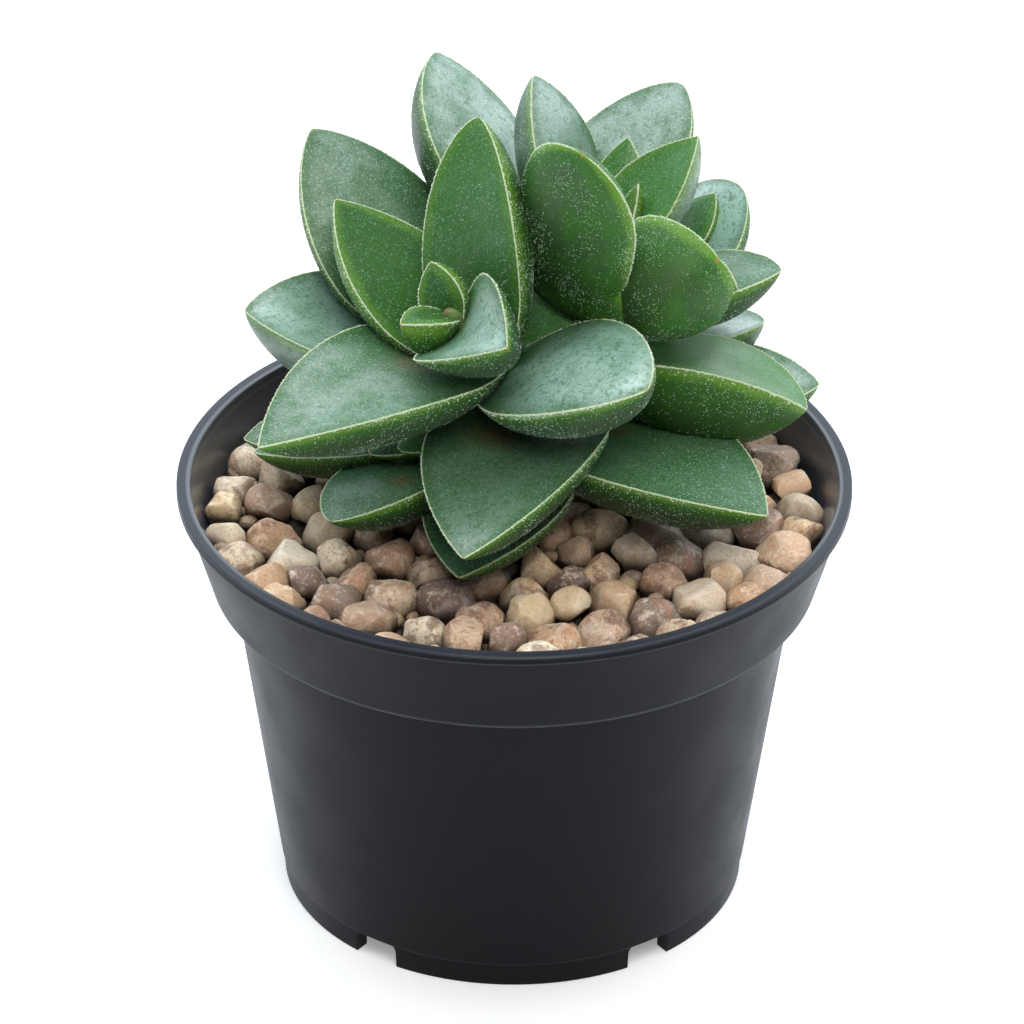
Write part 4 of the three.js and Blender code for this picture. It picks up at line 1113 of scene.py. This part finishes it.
class CRASSULA_OT_pot(bpy.types.Operator):
    """Make the turned pot with its lip, collar, foot notches and drain holes"""
    bl_idname = "crassula.pot"
    bl_label = "Pot"

    def execute(self, context):
        pot = context.scene.crassula.pot
        material = plastic_finish(pot)
        grid = turned(self.profile(pot), POT_COLUMNS)
        points, faces = closed_skin(grid)
        piece = mesh_piece("pot_shell", points, faces, material)
        step = 2 * math.pi / pot.notches
        angles = [(n + 0.5) * step for n in range(pot.notches)]
        cutters = [self.notch(pot, angle) for angle in angles] + [self.drain(pot, angle) for angle in angles]
        cut_away(piece, cutters)
        piece.data.shade_smooth()
        piece.data.set_sharp_from_angle(angle=math.radians(POT_CREASE))
        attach(piece, "root")
        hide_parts("pot")
        return {"FINISHED"}

    def profile(self, pot):
        """The pot's section from the middle of its underside, round the outside and down the inside."""
        size = {key: getattr(pot, key) / MM for key in (
            "lip_width", "lip_height", "lip_overhang", "collar_z", "collar_radius", "body_top",
            "body_bottom", "wall", "floor", "foot_height", "foot_radius", "foot_width")}
        lip_z = POT_HEIGHT - size["lip_height"]
        collar_top = RIM_RADIUS - size["lip_overhang"]
        foot, ring = size["foot_height"], size["foot_radius"]
        floor = foot + size["floor"]
        ledge = size["collar_z"] + size["wall"]
        return rounded([
            (0, foot, 0),
            (ring - size["foot_width"], foot, 0.4),
            (ring - size["foot_width"], 0, 0.25),
            (ring, 0, 0.3),
            (ring + 0.2, foot - 0.2, 0.15),
            (size["body_bottom"], foot + 0.2, 0.35),
            (size["body_top"], size["collar_z"], 0.5),
            (size["collar_radius"] - 0.25, size["collar_z"], 0.12),
            (size["collar_radius"], size["collar_z"] + 0.25, 0.2),
            (collar_top, lip_z, 0.25),
            (RIM_RADIUS, lip_z, 0.15),
            (RIM_RADIUS, POT_HEIGHT, 0.32),
            (RIM_RADIUS - size["lip_width"], POT_HEIGHT, 0.35),
            (size["collar_radius"] - size["wall"], ledge, 1.0),
            (size["body_top"] - size["wall"], ledge - 0.6, 0.8),
            (size["body_bottom"] - size["wall"], floor, 1.0),
            (0, floor, 0),
        ])

    def notch(self, pot, angle):
        """A closed bar with two rounded upper corners, as wide as a notch, across the foot ring."""
        half, corner, top = pot.notch_width / MM / 2, pot.notch_corner / MM, pot.foot_height / MM
        outline = rounded([(-half, -1, 0), (half, -1, 0), (half, top, corner), (-half, top, corner),
                           (-half, -1, 0)])[:-1]
        reach = np.array([pot.foot_radius / MM - 6, pot.foot_radius / MM + 2])[:, None]
        grid = np.stack([outline[None, :, 0] + 0 * reach, -reach + 0 * outline[None, :, 0],
                         outline[None, :, 1] + 0 * reach], -1)
        return self.cutter("notch", grid, angle)

    def drain(self, pot, angle):
        """A closed round bar through the floor of the pot."""
        spin = np.arange(DRAIN_COLUMNS) * 2 * math.pi / DRAIN_COLUMNS
        radius, circle = pot.drain_radius / MM, pot.drain_circle / MM
        low, high = pot.foot_height / MM - 1, (pot.foot_height + pot.floor) / MM + 1
        level = np.array([low, high])[:, None]
        grid = np.stack([radius * np.cos(spin) + 0 * level, radius * np.sin(spin) - circle + 0 * level,
                         level + 0 * spin], -1)
        return self.cutter("drain", grid, angle)

    def cutter(self, name, grid, angle):
        """A closed mesh of the grid, turned about the Z axis."""
        grid = grid @ turns(0, 0, angle).T
        points, faces = closed_skin(grid)
        return mesh_piece(name, points, faces, bpy.data.materials["pot_plastic"])


class CRASSULA_OT_mix(bpy.types.Operator):
    """Make the potting mix, which shows between the stones and in the drain holes"""
    bl_idname = "crassula.mix"
    bl_label = "Potting mix"

    def execute(self, context):
        settings = context.scene.crassula
        pot, fill = settings.pot, settings.fill
        top = fill.mix_top / MM
        wall = pot.wall / MM
        rise = np.linspace(0, 1, 12)[:, None]
        side = np.array([pot.body_bottom / MM - wall - MIX_CLEAR, MIX_FLOOR])
        shoulder = np.array([pot.body_top / MM - wall - MIX_CLEAR, pot.collar_z / MM])
        brim = np.array([collar_inner(pot, top) - MIX_CLEAR, top])
        spread = np.linspace(1, 0, 60)[1:, None]
        profile = np.concatenate([[[0.01, MIX_FLOOR]], side + (shoulder - side) * rise, [brim],
                                  np.concatenate([brim[0] * spread, top + 0 * spread], 1)])
        profile[-1, 0] = 0.01
        grid = turned(profile, MIX_COLUMNS)
        x, y, z = grid[..., 0], grid[..., 1], grid[..., 2]
        crumbs = np.sin(1.9 * x + 0.7 * y) + np.sin(2.3 * y - x) + np.sin(3.7 * x + 1.1) * np.sin(3.1 * y)
        grid[..., 2] = z + np.where(z > top - 0.01, CRUMB_HEIGHT * crumbs, 0)
        points, faces = closed_skin(grid)
        piece = mesh_piece("mix_bed", points, faces, mix_finish(tuple(fill.mix_colour)))
        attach(piece, "root")
        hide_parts("potting_mix")
        return {"FINISHED"}


class CRASSULA_OT_gravel(bpy.types.Operator):
    """Make the gravel: the top stones where the model has them, a layer under them and small chips"""
    bl_idname = "crassula.gravel"
    bl_label = "Gravel"

    def execute(self, context):
        settings = context.scene.crassula
        pot, fill = settings.pot, settings.fill
        stone = stone_finish()
        sizes = (fill.pebble_size / MM, fill.pebble_range / MM)
        wall = collar_inner(pot, fill.bed_z / MM) - PEBBLE_WALL_CLEAR
        stones = settle_pebbles(scatter_pebbles(PEBBLE_RINGS, PEBBLE_SPACING, PEBBLE_SCATTER, sizes), wall)
        level = fill.pebble_top / MM
        tops = level + PEBBLE_TOP_RANGE * (draw(stones[:, 0], 9) - 0.5)
        under_rings = [ring - UNDER_INSET for ring in PEBBLE_RINGS]
        under = scatter_pebbles(under_rings, UNDER_SPACING, UNDER_SCATTER, UNDER_SIZES, UNDER_FIRST)
        under_tops = level - UNDER_SINK + UNDER_RANGE * draw(under[:, 0], 9)
        chips = self.chips(stones, wall)
        chip_tops = level - CHIP_SINK + CHIP_RANGE * draw(chips[:, 0], 9)
        pieces = [
            stones_mesh("gravel_stones", stones, tops, TOP_LAYER, stone),
            stones_mesh("gravel_under", under, under_tops, UNDER_LAYER, stone),
            stones_mesh("gravel_chips", chips, chip_tops, CHIP_LAYER, stone),
        ]
        for piece in pieces:
            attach(piece, "root")
            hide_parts("gravel")
        return {"FINISHED"}

    def chips(self, stones, wall):
        """Small chips at random places that no top stone covers."""
        i = np.arange(*CHIP_NUMBERS)
        radius = (wall - CHIP_WALL_CLEAR) * np.sqrt(draw(i, 1))
        angle = 2 * np.pi * draw(i, 2)
        size = CHIP_SIZES[0] + CHIP_SIZES[1] * draw(i, 3)
        x, y = radius * np.cos(angle), radius * np.sin(angle)
        apart = np.hypot(x[:, None] - stones[None, :, 1], y[:, None] - stones[None, :, 2])
        reach = CHIP_COVERED[0] * stones[None, :, 3] + CHIP_COVERED[1] * size[:, None]
        free = (apart > reach).all(1)
        return np.stack([i, x, y, size], -1)[free]


class CRASSULA_OT_stems(bpy.types.Operator):
    """Make the stems that carry the leaves"""
    bl_idname = "crassula.stems"
    bl_label = "Stems"

    def execute(self, context):
        bark = bark_finish()
        for name, rings in STEMS.items():
            piece = mesh_piece(f"stem_{name}", *closed_skin(self.skin(np.array(rings, float))), bark)
            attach(piece, "root")
            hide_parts("stems")
        return {"FINISHED"}

    def skin(self, rings):
        """Rings along a smooth curve through the given ones, with leaf scars as gentle swellings."""
        s = np.linspace(0, len(rings) - 1, 10 * len(rings))
        curve = self.through(rings, s)
        angle = np.arange(STEM_COLUMNS) * 2 * np.pi / STEM_COLUMNS
        height, radius = curve[:, 2:3], curve[:, 3:]
        swell = 1 + 0.05 * np.sin(height * 1.6 + 2 * angle) + 0.02 * np.sin(5 * angle + height)
        x = curve[:, :1] + radius * swell * np.cos(angle)
        y = curve[:, 1:2] + radius * swell * np.sin(angle)
        return np.stack([x, y, height + 0 * angle], -1)

    def through(self, rows, s):
        """Points at s along a curve through the rows: on each stretch a cubic with the mean slopes."""
        padded = np.concatenate([rows[:1], rows, rows[-1:]])
        n = np.clip(s.astype(int), 0, len(rows) - 2)
        u = (s - n)[:, None]
        a, b, c, d = padded[n], padded[n + 1], padded[n + 2], padded[np.minimum(n + 3, len(padded) - 1)]
        return b + 0.5 * u * (c - a + u * (2 * a - 5 * b + 4 * c - d + u * (3 * (b - c) + d - a)))


class CRASSULA_OT_leaves(bpy.types.Operator):
    """Make each leaf as one closed skin with its margin, tip and bloom"""
    bl_idname = "crassula.leaves"
    bl_label = "Leaves"

    def execute(self, context):
        plant = context.scene.crassula.plant
        skin = leaf_finish(plant)
        for n, row in enumerate(LEAF_ROWS):
            leaf = dict(zip(LEAF_FIELDS, row))
            rng = np.random.default_rng(n)
            grid, facts = leaf_grid(leaf, plant)
            points, faces = closed_skin(grid)
            facts = {name: with_ends(values) for name, values in facts.items()}
            papillae = bead_mesh(leaf, plant, *spread_papillae(leaf, plant, rng), PAPILLA_SIZES, PAPILLA, rng)
            beads = bead_mesh(leaf, plant, *spread_beads(leaf, rng), BEAD_SIZES, BEAD, rng)
            for more_points, more_faces, more_facts in (papillae, beads):
                faces = (*faces, more_faces + len(points))
                points = np.concatenate([points, more_points])
                facts = {name: np.concatenate([facts[name], more_facts[name]]) for name in facts}
            piece = mesh_piece(f"skin_{leaf['name']}", points, faces, skin, facts)
            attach(piece, "root")
            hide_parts(leaf["name"])
        return {"FINISHED"}


class CRASSULA_OT_stage(bpy.types.Operator):
    """Make the floor, the soft light and the camera of the photo"""
    bl_idname = "crassula.stage"
    bl_label = "Stage"

    def execute(self, context):
        stage = context.scene.crassula.stage
        half = stage.floor_size / 2 / MM
        corners = np.array([[-half, -half, 0], [half, -half, 0], [half, half, 0], [-half, half, 0]])
        floor = mesh_piece("floor", corners, [np.array([[0, 1, 2, 3]])], floor_finish())
        self.camera(context, stage)
        self.world(context)
        for light in LIGHTS:
            self.softbox(*light)
        context.scene.view_settings.view_transform = "Standard"
        return {"FINISHED"}

    def camera(self, context, stage):
        """The photo's camera: it looks along +Y and down by its elevation, with a small roll."""
        e, roll = stage.elevation, stage.roll
        ahead = Vector((0, math.cos(e), -math.sin(e)))
        level, above = Vector((1, 0, 0)), Vector((0, math.sin(e), math.cos(e)))
        right = level * math.cos(roll) + above * math.sin(roll)
        up = above * math.cos(roll) - level * math.sin(roll)
        data = bpy.data.cameras.new("photo_view")
        data.lens = stage.lens
        data.sensor_width = SENSOR_WIDTH
        data.clip_end = VIEW_END
        camera = bpy.data.objects.new("photo_view", data)
        place = Vector((0, 0, stage.aim_z)) - ahead * stage.distance - right * stage.sideways
        axes = Matrix((right, up, -ahead)).transposed().to_4x4()
        camera.matrix_world = Matrix.Translation(place) @ axes
        context.scene.collection.objects.link(camera)
        context.scene.camera = camera

    def world(self, context):
        """White to the eye, and to the object a soft room that is bright behind and dim in front."""
        world = bpy.data.worlds.new("studio")
        context.scene.world = world
        world.use_nodes = True
        world.node_tree.nodes.clear()
        make = Nodes(world.node_tree)
        place = make.add("ShaderNodeTexCoord", {}, {}, "Generated")
        behind = make.add("ShaderNodeSeparateXYZ", {}, {0: place}, "Y")
        level = behind.step(-0.5, 0.6, *ROOM_LEVELS)
        room = make.add("ShaderNodeBackground", {}, {"Color": ROOM_TINT, "Strength": level})
        seen = make.add("ShaderNodeBackground", {}, {"Color": (1, 1, 1), "Strength": BACKDROP_LEVEL})
        ray = make.add("ShaderNodeLightPath", {}, {}, "Is Camera Ray")
        both = make.add("ShaderNodeMixShader", {}, {0: ray, 1: room, 2: seen})
        make.add("ShaderNodeOutputWorld", {}, {0: both}, None)

    def softbox(self, name, place, target, size, power, colour):
        """A square area light at a place, facing a target."""
        data = bpy.data.lights.new(name, "AREA")
        data.shape = "SQUARE"
        data.size = size
        data.energy = power
        data.color = colour
        light = bpy.data.objects.new(name, data)
        light.location = place
        light.rotation_mode = "QUATERNION"
        light.rotation_quaternion = (Vector(target) - Vector(place)).to_track_quat("-Z", "Y")
        bpy.context.scene.collection.objects.link(light)


class CRASSULA_PT_panel(bpy.types.Panel):
    """Panel in the 3D view's sidebar that lists the pieces"""
    bl_label = "Potted crassula"
    bl_idname = "CRASSULA_PT_panel"
    bl_space_type = "VIEW_3D"
    bl_region_type = "UI"
    bl_category = "Crassula"

    def draw(self, context):
        for operator in OPERATORS:
            self.layout.operator(operator.bl_idname)
        for group in (context.scene.crassula.pot, context.scene.crassula.fill,
                      context.scene.crassula.plant, context.scene.crassula.stage):
            box = self.layout.box()
            for name in group.bl_rna.properties.keys():
                if name not in ("rna_type", "name"):
                    box.prop(group, name)


GROUPS = (CrassulaPot, CrassulaFill, CrassulaPlant, CrassulaStage, CrassulaSettings)
OPERATORS = (CRASSULA_OT_pot, CRASSULA_OT_mix, CRASSULA_OT_gravel, CRASSULA_OT_stems,
             CRASSULA_OT_leaves, CRASSULA_OT_stage)


def register():
    """Registers every class, and puts the settings on the scene."""
    for made in (*GROUPS, *OPERATORS, CRASSULA_PT_panel):
        bpy.utils.register_class(made)
    bpy.types.Scene.crassula = bpy.props.PointerProperty(type=CrassulaSettings)


def unregister():
    """Takes the settings off the scene, and removes every class."""
    del bpy.types.Scene.crassula
    for made in reversed((*GROUPS, *OPERATORS, CRASSULA_PT_panel)):
        bpy.utils.unregister_class(made)


def main():
    register()
    bpy.ops.crassula.pot()
    bpy.ops.crassula.mix()
    bpy.ops.crassula.gravel()
    bpy.ops.crassula.stems()
    bpy.ops.crassula.leaves()
    bpy.ops.crassula.stage()


if __name__ == "__main__":
    main()
